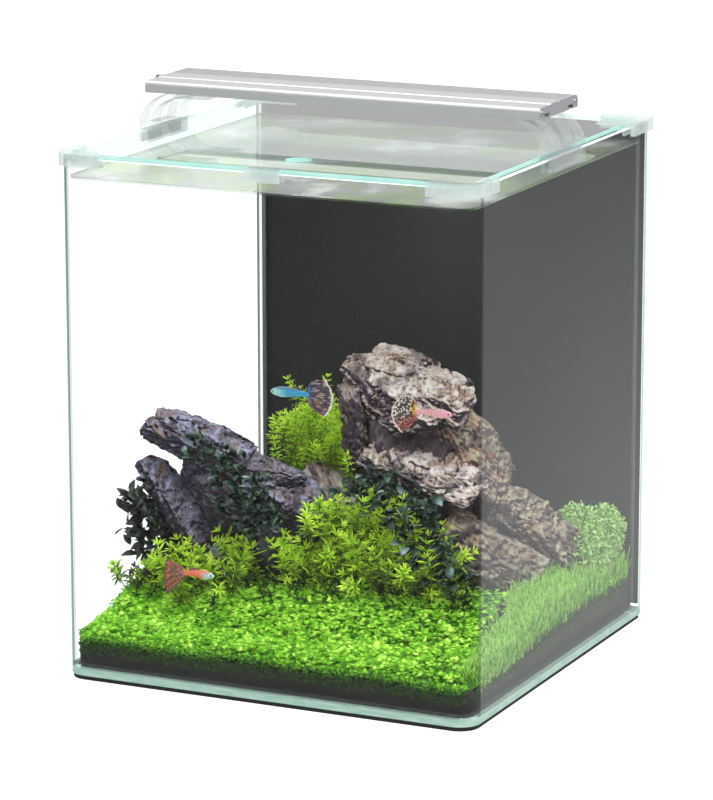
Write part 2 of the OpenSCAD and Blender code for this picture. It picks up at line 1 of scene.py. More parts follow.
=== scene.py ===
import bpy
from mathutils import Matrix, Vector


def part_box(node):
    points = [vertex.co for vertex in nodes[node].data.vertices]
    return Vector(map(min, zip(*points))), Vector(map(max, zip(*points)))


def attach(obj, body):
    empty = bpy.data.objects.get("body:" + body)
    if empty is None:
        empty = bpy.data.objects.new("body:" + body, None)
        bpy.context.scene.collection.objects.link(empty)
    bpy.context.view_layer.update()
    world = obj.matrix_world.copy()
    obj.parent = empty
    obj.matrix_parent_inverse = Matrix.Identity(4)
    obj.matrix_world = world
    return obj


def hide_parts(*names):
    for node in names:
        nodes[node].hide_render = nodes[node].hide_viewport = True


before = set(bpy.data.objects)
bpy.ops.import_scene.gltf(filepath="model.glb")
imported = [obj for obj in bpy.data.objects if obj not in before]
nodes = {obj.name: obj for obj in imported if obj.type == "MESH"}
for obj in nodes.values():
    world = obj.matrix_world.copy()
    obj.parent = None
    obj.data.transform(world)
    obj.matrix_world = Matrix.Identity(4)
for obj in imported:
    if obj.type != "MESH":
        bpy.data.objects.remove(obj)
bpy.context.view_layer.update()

import math

import bpy
import numpy as np

mm = 0.001
rng = np.random.default_rng(7)

# ---- The mat ----
# A thin sheet of black closed-cell foam that the floor pane stands on, so that grit can't crack
# the glass. It is cut a little smaller than the floor and simply lies under it.


class Wire:
    """One output socket of a look. Arithmetic on wires adds Math nodes to the look."""

    def __init__(self, look, socket):
        self.look, self.socket = look, socket

    def math(self, operation, *values):
        return self.look.node("ShaderNodeMath", {"operation": operation}, list(values))

    def __add__(self, other):
        return self.math("ADD", self, other)

    def __sub__(self, other):
        return self.math("SUBTRACT", self, other)

    def __rsub__(self, other):
        return self.math("SUBTRACT", other, self)

    def __mul__(self, other):
        return self.math("MULTIPLY", self, other)

    def __truediv__(self, other):
        return self.math("DIVIDE", self, other)

    def __pow__(self, other):
        return self.math("POWER", self, other)

    __radd__, __rmul__ = __add__, __mul__

    def size(self):
        return self.math("ABSOLUTE", self)

    def between(self, low, high):
        """0 up to low, 1 from high on, with a soft step in between."""
        settings = {"interpolation_type": "SMOOTHSTEP"}
        return self.look.node("ShaderNodeMapRange", settings, {"Value": self, 1: low, 2: high})


class Look:
    """The finish of a piece: a material whose nodes are added one call at a time."""

    def __init__(self, name):
        self.material = bpy.data.materials.new(name)
        self.material.use_nodes = True
        self.tree = self.material.node_tree
        self.tree.nodes.clear()

    def node(self, kind, settings=None, sockets=None, output=0):
        """Adds a node: its settings first, then a value or a wire for each socket."""
        made = self.tree.nodes.new(kind)
        for key, value in (settings or {}).items():
            if key == "stops":
                places = made.color_ramp.elements
                places.remove(places[1])
                places[0].position, places[0].color = value[0][0], (*value[0][1], 1)
                for place, colour in value[1:]:
                    places.new(place).color = (*colour, 1)
            else:
                setattr(made, key, value)
        sockets = sockets or {}
        for key, value in enumerate(sockets) if isinstance(sockets, list) else sockets.items():
            if isinstance(value, Wire):
                self.tree.links.new(value.socket, made.inputs[key])
            elif made.inputs[key].type == "RGBA":
                made.inputs[key].default_value = (*value, 1)
            else:
                made.inputs[key].default_value = value
        return Wire(self, made.outputs[output])

    def place(self, stretch=(1, 1, 1)):
        """The point's place in the row frame, stretched along each axis."""
        here = self.node("ShaderNodeTexCoord", output="Object")
        return self.node("ShaderNodeVectorMath", {"operation": "MULTIPLY"}, [here, stretch])

    def part(self, axis):
        """One coordinate of the point's place: X, Y or Z, in metres."""
        return self.node("ShaderNodeSeparateXYZ", None, [self.place()], axis)

    def facing(self, axis):
        """One part of the surface's direction: X, Y or Z, from -1 to 1."""
        direction = self.node("ShaderNodeNewGeometry", output="Normal")
        return self.node("ShaderNodeSeparateXYZ", None, [direction], axis)

    def noise(self, grain, stretch=(1, 1, 1), detail=3.0, roughness=0.55):
        """Soft noise from 0 to 1 whose lumps are about grain metres across."""
        sockets = {"Vector": self.place(stretch), "Scale": 1 / grain, "Detail": detail,
                   "Roughness": roughness}
        return self.node("ShaderNodeTexNoise", None, sockets)

    def cells(self, grain, stretch=(1, 1, 1)):
        """Distance to the middle of the nearest cell, cells being about grain metres across."""
        return self.node("ShaderNodeTexVoronoi", None, {"Vector": self.place(stretch), "Scale": 1 / grain})

    def fact(self, name):
        """A value that the piece's own mesh carries at each point."""
        return self.node("ShaderNodeAttribute", {"attribute_name": name}, output="Fac")

    def ramp(self, value, *stops):
        return self.node("ShaderNodeValToRGB", {"stops": stops}, [value])

    def mix(self, share, first, second, blend="MIX"):
        """From the first colour at 0 to the second at 1."""
        settings = {"data_type": "RGBA", "blend_type": blend}
        return self.node("ShaderNodeMix", settings, {0: share, 6: first, 7: second}, 2)

    def bump(self, height, depth, strength=1.0):
        """The surface's direction over a relief: height from 0 to 1 is depth metres deep."""
        return self.node("ShaderNodeBump", None, {"Height": height, "Distance": depth, "Strength": strength})

    def solid(self, **sockets):
        """A shader for an opaque or half opaque surface; underscores stand for blanks."""
        named = {key.replace("_", " "): value for key, value in sockets.items()}
        return self.node("ShaderNodeBsdfPrincipled", None, named)

    def blend(self, share, first, second):
        """From the first shader at 0 to the second at 1."""
        return self.node("ShaderNodeMixShader", None, [share, first, second])

    def finish(self, shader):
        out = self.tree.nodes.new("ShaderNodeOutputMaterial")
        self.tree.links.new(shader.socket, out.inputs["Surface"])
        return self


def shade(red, green, blue):
    """A colour given as a screen shows it, from 0 to 255, in the values that light needs."""
    part = np.array([red, green, blue]) / 255
    return tuple(float(x) for x in np.where(part <= 0.04045, part / 12.92, ((part + 0.055) / 1.055) ** 2.4))


def dress(look, *names):
    """Gives CAD nodes their look."""
    for name in names:
        nodes[name].data.materials.clear()
        nodes[name].data.materials.append(look.material)


foam = Look("black_foam")
foam_pores = foam.cells(1.1 * mm)
foam.finish(foam.solid(
    Base_Color=foam.mix(foam.noise(9 * mm), shade(18, 18, 20), shade(34, 34, 36)),
    Roughness=foam.noise(4 * mm) * 0.2 + 0.75,
    Normal=foam.bump(foam_pores, 0.25 * mm, 0.6)))
dress(foam, "base_mat")

# ---- The tank's glass ----
# A floor pane, one pane bent round the left side, the front and the right side, and a back pane.
# All are float glass: clear seen face on, green where the light runs along it and at its edges.


def pane(name, ground, edge_colour, edge_cover=0.9, tint=shade(230, 248, 242), mirror=1.0, wet=True,
         far_edge=0.0):
    """Thin glass: see-through, with a mirror share that grows with the fifth power of the slant,
    and a green tint at a slant. ground(look) is 1 on the ground edges, and far_edge is how far
    those seen from inside the glass fade. Faces that meet the water hardly mirror, so only the
    outer faces of a wet pane do."""
    look = Look(name)
    slant = look.node("ShaderNodeLayerWeight", None, {"Blend": 0.5}, "Facing")
    behind = look.node("ShaderNodeNewGeometry", output="Backfacing")
    mirror_share = (slant ** 5.0 * 0.96 + 0.008) * (1 - behind * 0.85) * mirror
    if wet:
        beyond = [look.part(axis).math("MAXIMUM", look.part(axis).size() - 135 * mm, 0.0)
                  for axis in (0, 1)]
        reach = (beyond[0] * beyond[0] + beyond[1] * beyond[1]) ** 0.5
        outer = reach.between(12.4 * mm, 13.4 * mm)
        mirror_share = mirror_share * (outer * 0.94 + 0.06)
        bend = (look.facing("X").size() * look.facing("Y").size()).between(0.03, 0.12)
        outline = outer * bend * (1 - behind)
    clear = look.node("ShaderNodeBsdfTransparent", None, {"Color": (0.998, 1.0, 0.999)})
    green = look.node("ShaderNodeBsdfTransparent", None, {"Color": tint})
    seen_through = look.blend(slant ** 4.0, clear, green)
    if wet:
        # Painted light and shade: on the outer face of the bent corners, glass seen past a small slant is filtered
        # grey, and at a steeper slant dark green-grey, in place of what the curved glass bends.
        grey = look.node("ShaderNodeBsdfTransparent", None, {"Color": shade(214, 208, 212)})
        dark = look.node("ShaderNodeBsdfTransparent", None, {"Color": shade(88, 132, 120)})
        painted_bend_line = look.blend(slant.between(0.52, 0.58), grey, dark)
        seen_through = look.blend(outline * slant.between(0.38, 0.42), seen_through, painted_bend_line)
    streaks = look.noise(3 * mm, (0.2, 0.2, 1), 2.0)
    edge = look.solid(Base_Color=look.mix(streaks, edge_colour, tuple(0.5 + 0.5 * c for c in edge_colour)),
                      Roughness=0.22, Alpha=edge_cover)
    shine = look.node("ShaderNodeBsdfAnisotropic", None, {"Color": (1, 1, 1), "Roughness": 0.0})
    faces = look.blend(mirror_share, seen_through, shine)
    return look.finish(look.blend(ground(look) * (1 - behind * far_edge), faces, edge))


wall_glass = pane("wall_glass", lambda look: look.facing("Z").size().between(0.6, 0.8), shade(196, 226, 214))
dress(wall_glass, "wall_pane")
back_glass = pane("back_glass", lambda look: look.facing("Y").size().between(0.8, 0.4),
                  shade(150, 196, 178), 0.97, mirror=0.1, wet=False)
dress(back_glass, "back_pane")
floor_glass = pane("floor_glass", lambda look: look.facing("Z").size().between(0.9, 0.6),
                   shade(98, 164, 138), 1.0, mirror=0.2, wet=False)
dress(floor_glass, "floor_pane")

# ---- The silicone ----
# Clear silicone beads seal the floor all round and the two back corners. They are smoothed by
# hand, so they wave a little and look milky.

silicone = Look("silicone")
silicone.finish(silicone.solid(
    Base_Color=silicone.mix(silicone.noise(12 * mm), shade(196, 208, 204), shade(226, 234, 231)),
    Roughness=silicone.noise(5 * mm) * 0.2 + 0.25, Alpha=0.14,
    Normal=silicone.bump(silicone.noise(6 * mm), 0.3 * mm)))
dress(silicone, "floor_bead", "back_beads")

# ---- The background film ----
# A dark grey film stuck on the outside of the back pane. It is nearly black and faintly grained,
# and painted lighter towards the middle and the right: painted light for the room's light it meets there.

film = Look("background_film")
# Painted light: the colour runs from nearly black at the left to a lighter grey in the middle, and is a little darker
# again at the right.
film_painted_light = film.ramp(film.part("X").between(-150 * mm, 150 * mm), (0.0, shade(30, 30, 31)),
                       (0.5, shade(76, 76, 77)), (0.7, shade(74, 74, 76)), (1.0, shade(54, 54, 56)))
film.finish(film.solid(
    Base_Color=film_painted_light,
    Roughness=film.noise(20 * mm) * 0.1 + 0.55))
dress(film, "background_film")

# ---- The substrate ----
# Dark baked-soil granules, a little deeper at the back and heaped into a mound under the rocks.
# The heap is one closed solid; against the front and side glass its granules show one by one.

bead_low, bead_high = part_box("floor_bead")
half_x, half_y, floor_top = bead_high.x, bead_high.y, bead_low.z
rim_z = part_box("wall_pane")[1].z
tall = (rim_z - floor_top) / 0.348
bed_gap = 1.5 * mm
corner_r = 11 * mm
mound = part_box("foreground_carpet")


def noise(points, size, seed=0):
    """Smooth noise from -1 to 1: a random number at each corner of cubes of the given size,
    blended along each axis by 3t^2 - 2t^3."""
    spot = points / size + 31.7 * seed
    cell = np.floor(spot).astype(np.int64)
    t = spot - cell
    t = t * t * (3 - 2 * t)
    total = 0
    for dx in (0, 1):
        for dy in (0, 1):
            for dz in (0, 1):
                key = ((cell[..., 0] + dx) * 374761393 + (cell[..., 1] + dy) * 668265263
                       + (cell[..., 2] + dz) * 1442695041 + seed * 97)
                key = (key ^ (key >> 13)) * 1274126177
                value = ((key ^ (key >> 16)) & 0xFFFFFF) / 0x7FFFFF - 1
                share = np.abs(1 - dx - t[..., 0]) * np.abs(1 - dy - t[..., 1]) * np.abs(1 - dz - t[..., 2])
                total = total + value * share
    return total


def rough(points, size, octaves, seed=0):
    """Noise summed over octaves, each half the size and half the height of the last."""
    return sum(noise(points, size / 2 ** k, seed + k) / 2 ** k for k in range(octaves))


def grid(rows, columns, wrap=False):
    """Corner numbers of the four-sided faces between rows of points; wrap closes each row."""
    i, j = np.meshgrid(np.arange(rows - 1), np.arange(columns if wrap else columns - 1), indexing="ij")
    nxt = (j + 1) % columns
    return np.stack([i * columns + j, i * columns + nxt, (i + 1) * columns + nxt, (i + 1) * columns + j],
                    axis=-1).reshape(-1, 4)


def piece(name, points, faces, look, slot, stands_for=(), body="tank", smooth=True, **facts):
    """Makes a mesh object from arrays. faces is one array of corner numbers, or a list of them."""
    groups = [np.asarray(g) for g in (faces if isinstance(faces, list) else [faces])]
    corners = np.concatenate([g.ravel() for g in groups]).astype(np.int32)
    counts = np.concatenate([np.full(len(g), g.shape[1]) for g in groups])
    mesh = bpy.data.meshes.new(name)
    mesh.vertices.add(len(points))
    mesh.vertices.foreach_set("co", np.asarray(points, np.float32).ravel())
    mesh.loops.add(len(corners))
    mesh.loops.foreach_set("vertex_index", corners)
    mesh.polygons.add(len(counts))
    mesh.polygons.foreach_set("loop_start", np.concatenate([[0], np.cumsum(counts)[:-1]]).astype(np.int32))
    mesh.update(calc_edges=True)
    mesh.polygons.foreach_set("use_smooth", np.full(len(counts), smooth))
    for fact, values in facts.items():
        attribute = mesh.attributes.new(fact, "FLOAT", "POINT")
        attribute.data.foreach_set("value", np.asarray(values, np.float32).ravel())
    mesh.materials.append(look.material)
    made = bpy.data.objects.new(name, mesh)
    bpy.context.scene.collection.objects.link(made)
    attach(made, body)
    if stands_for:
        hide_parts(*stands_for)
    return made


def bed_height(u, v):
    """Top of the substrate at shares u, v of the half width and half depth inside the glass:
    a slope from front to back, a mound under the rocks and two fine ripples."""
    slope = 18 + 6 * (v + 1) / 2
    heap = 30 * tall * np.exp(-((u + 0.15) / 0.9) ** 2 - ((v - 0.25) / 0.62) ** 2)
    ripple = 0.7 * np.sin(np.radians(u * 530 + v * 220)) + 0.6 * np.sin(np.radians(v * 610 - u * 150))
    return floor_top + (slope + heap + ripple) * mm


def bed_y(u, v, gap=bed_gap):
    """Depth of a share: the front edge follows the glass round its bent corners."""
    r = corner_r - gap
    past = np.clip(np.abs(u) * (half_x - gap) - (half_x - gap - r), 0, r)
    front = -(half_y - gap) + r - np.sqrt(r * r - past * past)
    return front + (half_y - gap - front) * (v + 1) / 2


def sheet_solid(top, low):
    """Closed solid under a grid of top points: its rim is carried down to low and capped."""
    rows, columns = top.shape[:2]
    ids = np.arange(rows * columns).reshape(rows, columns)
    rim = np.concatenate([ids[0, :], ids[1:, -1], ids[-1, -2::-1], ids[-2:0:-1, 0]])
    points = top.reshape(-1, 3)
    foot = points[rim].copy()
    foot[:, 2] = low
    n, count = len(points), len(rim)
    ring = n + np.arange(count)
    sides = np.stack([rim, ring, np.roll(ring, -1), np.roll(rim, -1)], axis=-1)
    middle = np.array([[0, 0, low]])
    cap = np.stack([ring, np.full(count, n + count), np.roll(ring, -1)], axis=-1)
    return np.concatenate([points, foot, middle]), [grid(rows, columns), sides, cap]


soil = Look("dark_soil")
soil_grains = soil.cells(2.4 * mm)
roots = soil.noise(2.2 * mm, (1, 1, 0.5), 4.0)
soil_colour = soil.ramp(roots, (0.34, shade(12, 11, 8)), (0.48, shade(36, 32, 18)),
                        (0.6, shade(32, 46, 14)), (0.72, shade(84, 76, 46)))
soil_top = (soil.part("Z") + soil.noise(16 * mm) * 8 * mm).between(17 * mm, 25 * mm)
soil.finish(soil.solid(
    Base_Color=soil.mix(soil_top, soil.mix(roots, shade(8, 8, 8), shade(22, 19, 18)), soil_colour),
    Roughness=soil.noise(3 * mm) * 0.2 + 0.75, Normal=soil.bump(soil_grains, 0.6 * mm)))

bed_v, bed_u = np.meshgrid(np.linspace(-1, 1, 150), np.sin(np.linspace(-1, 1, 170) * math.pi / 2) * 0.5
                           + np.linspace(-1, 1, 170) * 0.5, indexing="ij")
bed_top = np.stack([bed_u * (half_x - bed_gap), bed_y(bed_u, bed_v), bed_height(bed_u, bed_v)], axis=-1)
inside = np.clip(1 - np.maximum(np.abs(bed_u), np.abs(bed_v)) ** 12, 0, 1)
bed_top[..., 2] += rough(bed_top, 7 * mm, 3, 2) * 1.2 * mm * (0.3 + 0.7 * inside)
bed_points, bed_faces = sheet_solid(bed_top, floor_top + 0.1 * mm)
piece("substrate_bed", bed_points, bed_faces, soil, "substrate", ["substrate"])


def ball(rings, sides):
    """A coarse closed ball of radius 1: rings of sides points between two poles."""
    tilt = math.pi * np.arange(1, rings + 1) / (rings + 1)
    turn = 2 * math.pi * np.arange(sides) / sides
    z, x = np.meshgrid(np.cos(tilt), np.cos(turn), indexing="ij")
    radius, y = np.meshgrid(np.sin(tilt), np.sin(turn), indexing="ij")
    points = np.stack([radius * x, radius * y, z], axis=-1).reshape(-1, 3)
    points = np.concatenate([points, [[0, 0, 1], [0, 0, -1]]])
    top, bottom, last = len(points) - 2, len(points) - 1, (rings - 1) * sides
    a = np.arange(sides)
    b = (a + 1) % sides
    caps = np.concatenate([np.stack([np.full(sides, top), a, b], -1),
                           np.stack([np.full(sides, bottom), last + b, last + a], -1)])
    quads = grid(rings, sides, True)[:, ::-1]
    return points, np.concatenate([caps, quads[:, [0, 1, 2]], quads[:, [0, 2, 3]]])


def copies(shape, faces, spots, axes):
    """One small shape set at many spots. axes holds, for each copy, where the shape's own three
    axes point, each as long as the copy is scaled along it."""
    points = spots[:, None, :] + np.einsum("kc,ncd->nkd", shape, axes)
    shift = np.arange(len(spots))[:, None, None] * len(shape)
    return points.reshape(-1, 3), (faces[None] + shift).reshape(-1, faces.shape[1])


def turned(count, tilt=math.pi):
    """Random frames: each copy is turned freely about Z after a random tilt up to the given angle."""
    turn, lean, spin = rng.uniform(0, 2 * math.pi, (3, count))
    lean = lean / (2 * math.pi) * tilt
    up = np.stack([np.sin(lean) * np.cos(turn), np.sin(lean) * np.sin(turn), np.cos(lean)], -1)
    along = np.stack([np.cos(spin), np.sin(spin), np.zeros(count)], -1)
    along -= up * np.sum(along * up, axis=1, keepdims=True)
    along /= np.linalg.norm(along, axis=1, keepdims=True)
    return np.stack([along, np.cross(up, along), up], axis=1)


# The granules lie behind the front glass and behind both side panes, in rows up to the surface.
grain_r = 1.25 * mm
strip = rng.uniform(0, 1, (3600, 2))
along_wall = strip[:, 0] * 3
grain_u = np.where(along_wall < 1, along_wall * 2 - 1, np.where(along_wall < 2, 1.0, -1.0))
grain_v = np.where(along_wall < 1, -1.0, (along_wall % 1) * 2 - 1)
grain_spot = np.stack([grain_u * (half_x - bed_gap - grain_r), bed_y(grain_u, grain_v, bed_gap + grain_r),
                       np.zeros(len(strip))], -1)
grain_low = floor_top + 3.4 * mm
grain_spot[:, 2] = grain_low + strip[:, 1] * (bed_height(grain_u, grain_v) - grain_low)
grain_spot[:, 1] = np.clip(grain_spot[:, 1], None, half_y - 4 * mm)
grain_axes = turned(len(strip)) * (grain_r * rng.uniform(0.75, 1.15, (len(strip), 3, 1)))
grain_shape, grain_faces = ball(3, 6)
grain_points, grain_all = copies(grain_shape, grain_faces, grain_spot, grain_axes)
piece("soil_granules", grain_points, grain_all, soil, "substrate")

# ---- The rocks ----
# Layered grey and cream stone, wedged into the mound: one big leaning rock right of the middle,
# and two slabs on the left, one on the other, whose tips stick out towards the left glass.


def smooth_curve(places, values, at):
    """A soft curve through stations: straight runs between them, rounded off near each one."""
    fine = np.linspace(places[0], places[-1], 400)
    curve = np.interp(fine, places, values)
    padded = np.concatenate([np.full(9, curve[0]), curve, np.full(9, curve[-1])])
    return np.interp(at, fine, np.convolve(padded, np.full(19, 1 / 19), "valid"))


def cube_grid(n):
    """Directions through the sides of a cube, n squares along each edge, joined at the edges."""
    line = np.tan(np.linspace(-1, 1, n + 1) * math.pi / 4)
    s, t = np.meshgrid(line, line, indexing="ij")
    sides = [np.roll(np.stack([np.full_like(s, sign), s * sign, t], -1), axis, axis=-1).reshape(-1, 3)
             for axis in range(3) for sign in (1, -1)]
    faces = np.concatenate([grid(n + 1, n + 1)[:, ::-1] + k * (n + 1) ** 2 for k in range(6)])
    points, number = np.unique(np.round(np.concatenate(sides), 6), axis=0, return_inverse=True)
    return points / np.linalg.norm(points, axis=1, keepdims=True), number.reshape(-1)[faces]


def boulder(start, end, wide, thick, up, seed, layer=9, n=80, cuts=16, nose=1.0):
    """A closed angular block between two ends, in mm. Rays from its middle stop at the nearest of
    its facets: the sides of a box and random slanted cuts across its edges. It is stretched to its
    length, width and thickness, and its surface is moved by layers across its thickness, cracks
    and noise. nose is the share of its width and thickness left at the start. Also gives how open each point lies, from 0 in a hollow to 1 on a ridge, and its
    place across the layers."""
    chance = np.random.default_rng(seed)
    rays, faces = cube_grid(n)
    lean = chance.normal(0, 1, (cuts, 3))
    lean /= np.linalg.norm(lean, axis=1, keepdims=True)
    normals = np.concatenate([np.eye(3), -np.eye(3), lean])
    far = np.concatenate([np.ones(6), np.abs(lean).sum(1) * chance.uniform(0.5, 0.84, cuts)])
    reach = np.clip(rays @ normals.T, 0, None) / far
    rays = rays * (np.sum(reach ** 40, axis=1) ** (-1 / 40))[:, None]
    start, end = np.array(start) * mm, np.array(end) * mm
    along = (end - start) / np.linalg.norm(end - start)
    across = np.cross(np.array(up, float), along)
    across /= np.linalg.norm(across)
    axes = np.array([along, across, np.cross(along, across)])
    half = np.array([np.linalg.norm(end - start) / 2, wide * mm, thick * mm])
    taper = nose + (1 - nose) * np.clip(rays[:, :1] * 0.5 + 0.5, 0, 1)
    points = (start + end) / 2 + (rays * half * np.where([True, False, False], 1, taper)) @ axes
    outward = np.zeros_like(points)
    face_out = np.cross(points[faces[:, 2]] - points[faces[:, 0]], points[faces[:, 3]] - points[faces[:, 1]])
    for corner in range(4):
        np.add.at(outward, faces[:, corner], face_out)
    outward /= np.linalg.norm(outward, axis=1, keepdims=True)
    level = points @ (axes[2] + 0.25 * axes[0]) + rough(points, 26 * mm, 3, seed) * 4 * mm
    beds = (level / (layer * mm)) % 1
    steps = np.where(beds < 0.82, beds * 0.35, 0.29 + (0.82 - beds) * 1.6) * 1.4
    thin_beds = np.abs((level / (layer * 0.31 * mm)) % 1 - 0.5)
    broad = rough(points, 24 * mm, 3, seed + 3)
    cracks = np.clip(0.15 - np.abs(rough(points * np.array([1, 1, 1.6]), 11 * mm, 3, seed + 7)), 0, 1) * 6
    fine = rough(points, 2.6 * mm, 3, seed + 11)
    move = broad * 2.0 + steps * 4.6 + thin_beds * 0.8 - cracks * 2.6 + fine * 1.0 - 1.4
    points = points + outward * (move * mm)[:, None]
    openness = np.clip(0.5 + steps * 0.5 + thin_beds * 0.5 - cracks * 0.5 + fine * 0.35, 0, 1)
    return points, faces, openness, level


def pile(name, look, blocks, stands_for, tones):
    """Several blocks in one piece. Each point carries its openness and its block's tone, which is the share of painted
    shade the block gets.
    """
    made = [boulder(**block) for block in blocks]
    shift = np.cumsum([0] + [len(block[0]) for block in made])
    return piece(name, np.concatenate([block[0] for block in made]),
                 np.concatenate([block[1] + by for block, by in zip(made, shift)]), look, "rock", stands_for,
                 open=np.concatenate([block[2] for block in made]), level=np.concatenate([block[3] for block in made]),
                 tone=np.concatenate([np.full(len(block[0]), tone) for block, tone in zip(made, tones)]))


def stone_look(name, top_dark, top_light, brightest, side_dark, side_light, deep, stain):
    """Layered stone with painted light and shade: pale where it faces up, dusky on its sides, darkest
    below and in pits, darker for blocks with a tone, with stains that follow the layers."""
    look = Look(name)
    openness, sky, tone = look.fact("open"), look.facing("Z"), look.fact("tone")
    layer = look.fact("level") * 1000 + look.noise(5 * mm) * 1.6
    lines = look.node("ShaderNodeTexNoise", {"noise_dimensions": "1D"}, {"W": layer, "Scale": 0.55, "Detail": 4.0,
                                                                      "Roughness": 0.7})
    crust = look.noise(2.8 * mm, detail=6.0, roughness=0.75)
    cloud = look.noise(16 * mm, detail=4.0)
    top = look.ramp(lines * 0.35 + crust * 0.35 + cloud * 0.3, (0.42, top_dark), (0.49, top_light),
                    (0.57, brightest), (0.66, top_light))
    side = look.ramp(crust * 0.4 + lines * 0.6, (0.36, tuple(0.35 * c for c in side_dark)), (0.5, side_dark),
                     (0.64, side_light))
    # Painted light and shade: faces that look up get the pale top colours, the others the dusky side colours.
    colour = look.mix((sky + cloud * 0.5 - 0.25).between(0.08, 0.6), side, top)
    patches = look.noise(24 * mm, (1, 1, 1.5), 3.0)
    colour = look.mix(patches.between(0.5, 0.36) * 0.7, colour, side_dark)
    colour = look.mix(patches.between(0.53, 0.66) * 0.45 * sky.between(-0.4, 0.5), colour,
                      look.mix(crust, tuple(0.45 * c for c in stain), stain))
    colour = look.mix((cloud * 0.5 + lines * 0.5).between(0.575, 0.64), colour, stain)
    # Painted shade: hollows, cracks and steps darken towards deep, and faces that look down are darker still.
    colour = look.mix(openness.between(0.5, 0.1), colour, deep)
    colour = look.mix(sky.between(-0.05, -0.5), colour, tuple(0.6 * c for c in deep))
    # Painted shade: a block's tone darkens it towards the shade colours, for blocks that lie under and behind the
    # others.
    colour = look.mix(tone, colour, look.mix(crust, deep, side_dark))
    return look.finish(look.solid(Base_Color=colour, Roughness=crust * 0.3 + 0.55,
                                  Normal=look.bump(crust + lines * 0.7, 1.0 * mm)))


cream_stone = stone_look("cream_stone", shade(92, 64, 58), shade(216, 196, 182), shade(244, 240, 246),
                         shade(74, 58, 76), shade(146, 126, 140), shade(26, 16, 32), shade(140, 96, 66))
pile("main_rock_cap", cream_stone, [
    dict(start=(-22, 28, 183), end=(66, 24, 170), wide=32, thick=19, up=(0.14, -0.45, 1), seed=11, n=84),
    dict(start=(-8, 32, 197), end=(44, 30, 188), wide=20, thick=10, up=(0.16, -0.4, 1), seed=12, n=50),
    dict(start=(34, 22, 186), end=(74, 24, 172), wide=22, thick=10, up=(0.3, -0.2, 1), seed=32, n=44),
], ["main_rock"], [0, 0, 0])
pile("main_rock_body", cream_stone, [
    dict(start=(-16, 24, 182), end=(-6, 26, 112), wide=24, thick=11, up=(-1, -0.2, 0.1), seed=13, n=44),
    dict(start=(8, 6, 148), end=(90, 6, 120), wide=24, thick=7, up=(0.15, -0.35, 1), seed=14, n=56),
    dict(start=(20, 34, 166), end=(46, 42, 30), wide=38, thick=38, up=(1, 0, 0), seed=15, n=50),
    dict(start=(-46, 20, 116), end=(14, 22, 84), wide=24, thick=14, up=(0.2, -0.3, 1), seed=16, n=44),
], [], [0.35, 0, 0.85, 0.45])
flank_stone = stone_look("flank_stone", shade(92, 70, 64), shade(180, 162, 138), shade(214, 204, 178),
                         shade(76, 60, 72), shade(132, 112, 110), shade(28, 18, 30), shade(150, 84, 62))
pile("main_rock_flank", flank_stone, [
    dict(start=(36, 22, 174), end=(82, 50, 106), wide=28, thick=16, up=(0.8, -0.3, 0.7), seed=17, n=60),
    dict(start=(76, 40, 112), end=(121, 96, 50), wide=28, thick=15, up=(0.7, -0.4, 0.6), seed=18, n=56),
    dict(start=(62, -4, 96), end=(112, 34, 44), wide=26, thick=16, up=(0.4, -0.7, 0.7), seed=19, n=50),
], [], [0, 0, 0.2])
lilac_stone = stone_look("lilac_stone", shade(56, 48, 54), shade(122, 114, 132), shade(172, 176, 210),
                         shade(26, 20, 40), shade(78, 70, 112), shade(12, 9, 16), shade(134, 92, 54))
pile("upper_left_rock", lilac_stone, [
    dict(start=(-134, -58, 158), end=(-18, -36, 112), wide=22, thick=13, up=(0.35, -0.3, 1), seed=21, n=84, nose=0.55),
    dict(start=(-128, -54, 166), end=(-58, -46, 141), wide=17, thick=8, up=(0.3, -0.35, 1), seed=22, n=56, nose=0.5),
    dict(start=(-62, -50, 130), end=(-14, -34, 98), wide=22, thick=9, up=(0.5, -0.4, 1), seed=26, n=44),
], ["upper_left_rock"], [0, 0, 0.1])
pile("lower_left_rock", lilac_stone, [
    dict(start=(-139, -58, 132), end=(-64, -52, 60), wide=24, thick=15, up=(0.65, -0.45, 0.7), seed=23, n=70, nose=0.45),
    dict(start=(-112, -50, 128), end=(-18, -26, 82), wide=28, thick=18, up=(0.3, -0.4, 1), seed=24, n=60),
    dict(start=(-80, -40, 90), end=(-10, -20, 50), wide=30, thick=24, up=(0.3, -0.4, 1), seed=25, n=44),
], ["lower_left_rock"], [0, 0.45, 0.8])

# ---- The carpet ----
# A dense low plant with small round leaves on creeping stems. It covers the front of the bed and
# runs back along the right side, where it turns into short grass.


def carpet_end(u):
    """Back edge of the carpet as a share of the half depth."""
    return np.maximum(-0.34 + 0.26 * u, -0.47) + np.clip(u - 0.55, 0, None) * 2.2


def carpet_rise(u, t):
    """How far the carpet swells towards its back edge (t is 1 there), but not along the right side."""
    t = np.clip((t - 0.4) / 0.6, 0, 1)
    return 10 * t * t * (3 - 2 * t) * (1 - np.clip((u - 0.5) / 0.3, 0, 1))


def leaf_shape(outline, rise, sag=0.0, thick=0.03):
    """A thin closed leaf of length 1 along its first axis. outline lists [along, half width]
    between base and tip; its rim lifts by rise and its length sags; the two faces lie thick apart."""
    table = np.array(outline, float)
    along, wide = table[:, 0], table[:, 1]
    rim = np.concatenate([np.stack([along, wide], -1), np.stack([along, -wide], -1)[::-1]])
    rim = np.concatenate([[[0, 0]], rim[:len(along)], [[1, 0]], rim[len(along):]])
    height = rise * np.abs(rim[:, 1]) * 2 - sag * rim[:, 0] ** 2
    edge = np.column_stack([rim, height])
    middle = np.array([[0.5, 0, thick - sag * 0.25], [0.5, 0, -thick - sag * 0.25]])
    n = len(edge)
    a = np.arange(n)
    b = (a + 1) % n
    faces = np.concatenate([np.stack([a, np.full(n, n), b], -1), np.stack([b, np.full(n, n + 1), a], -1)])
    return np.concatenate([edge, middle]), faces


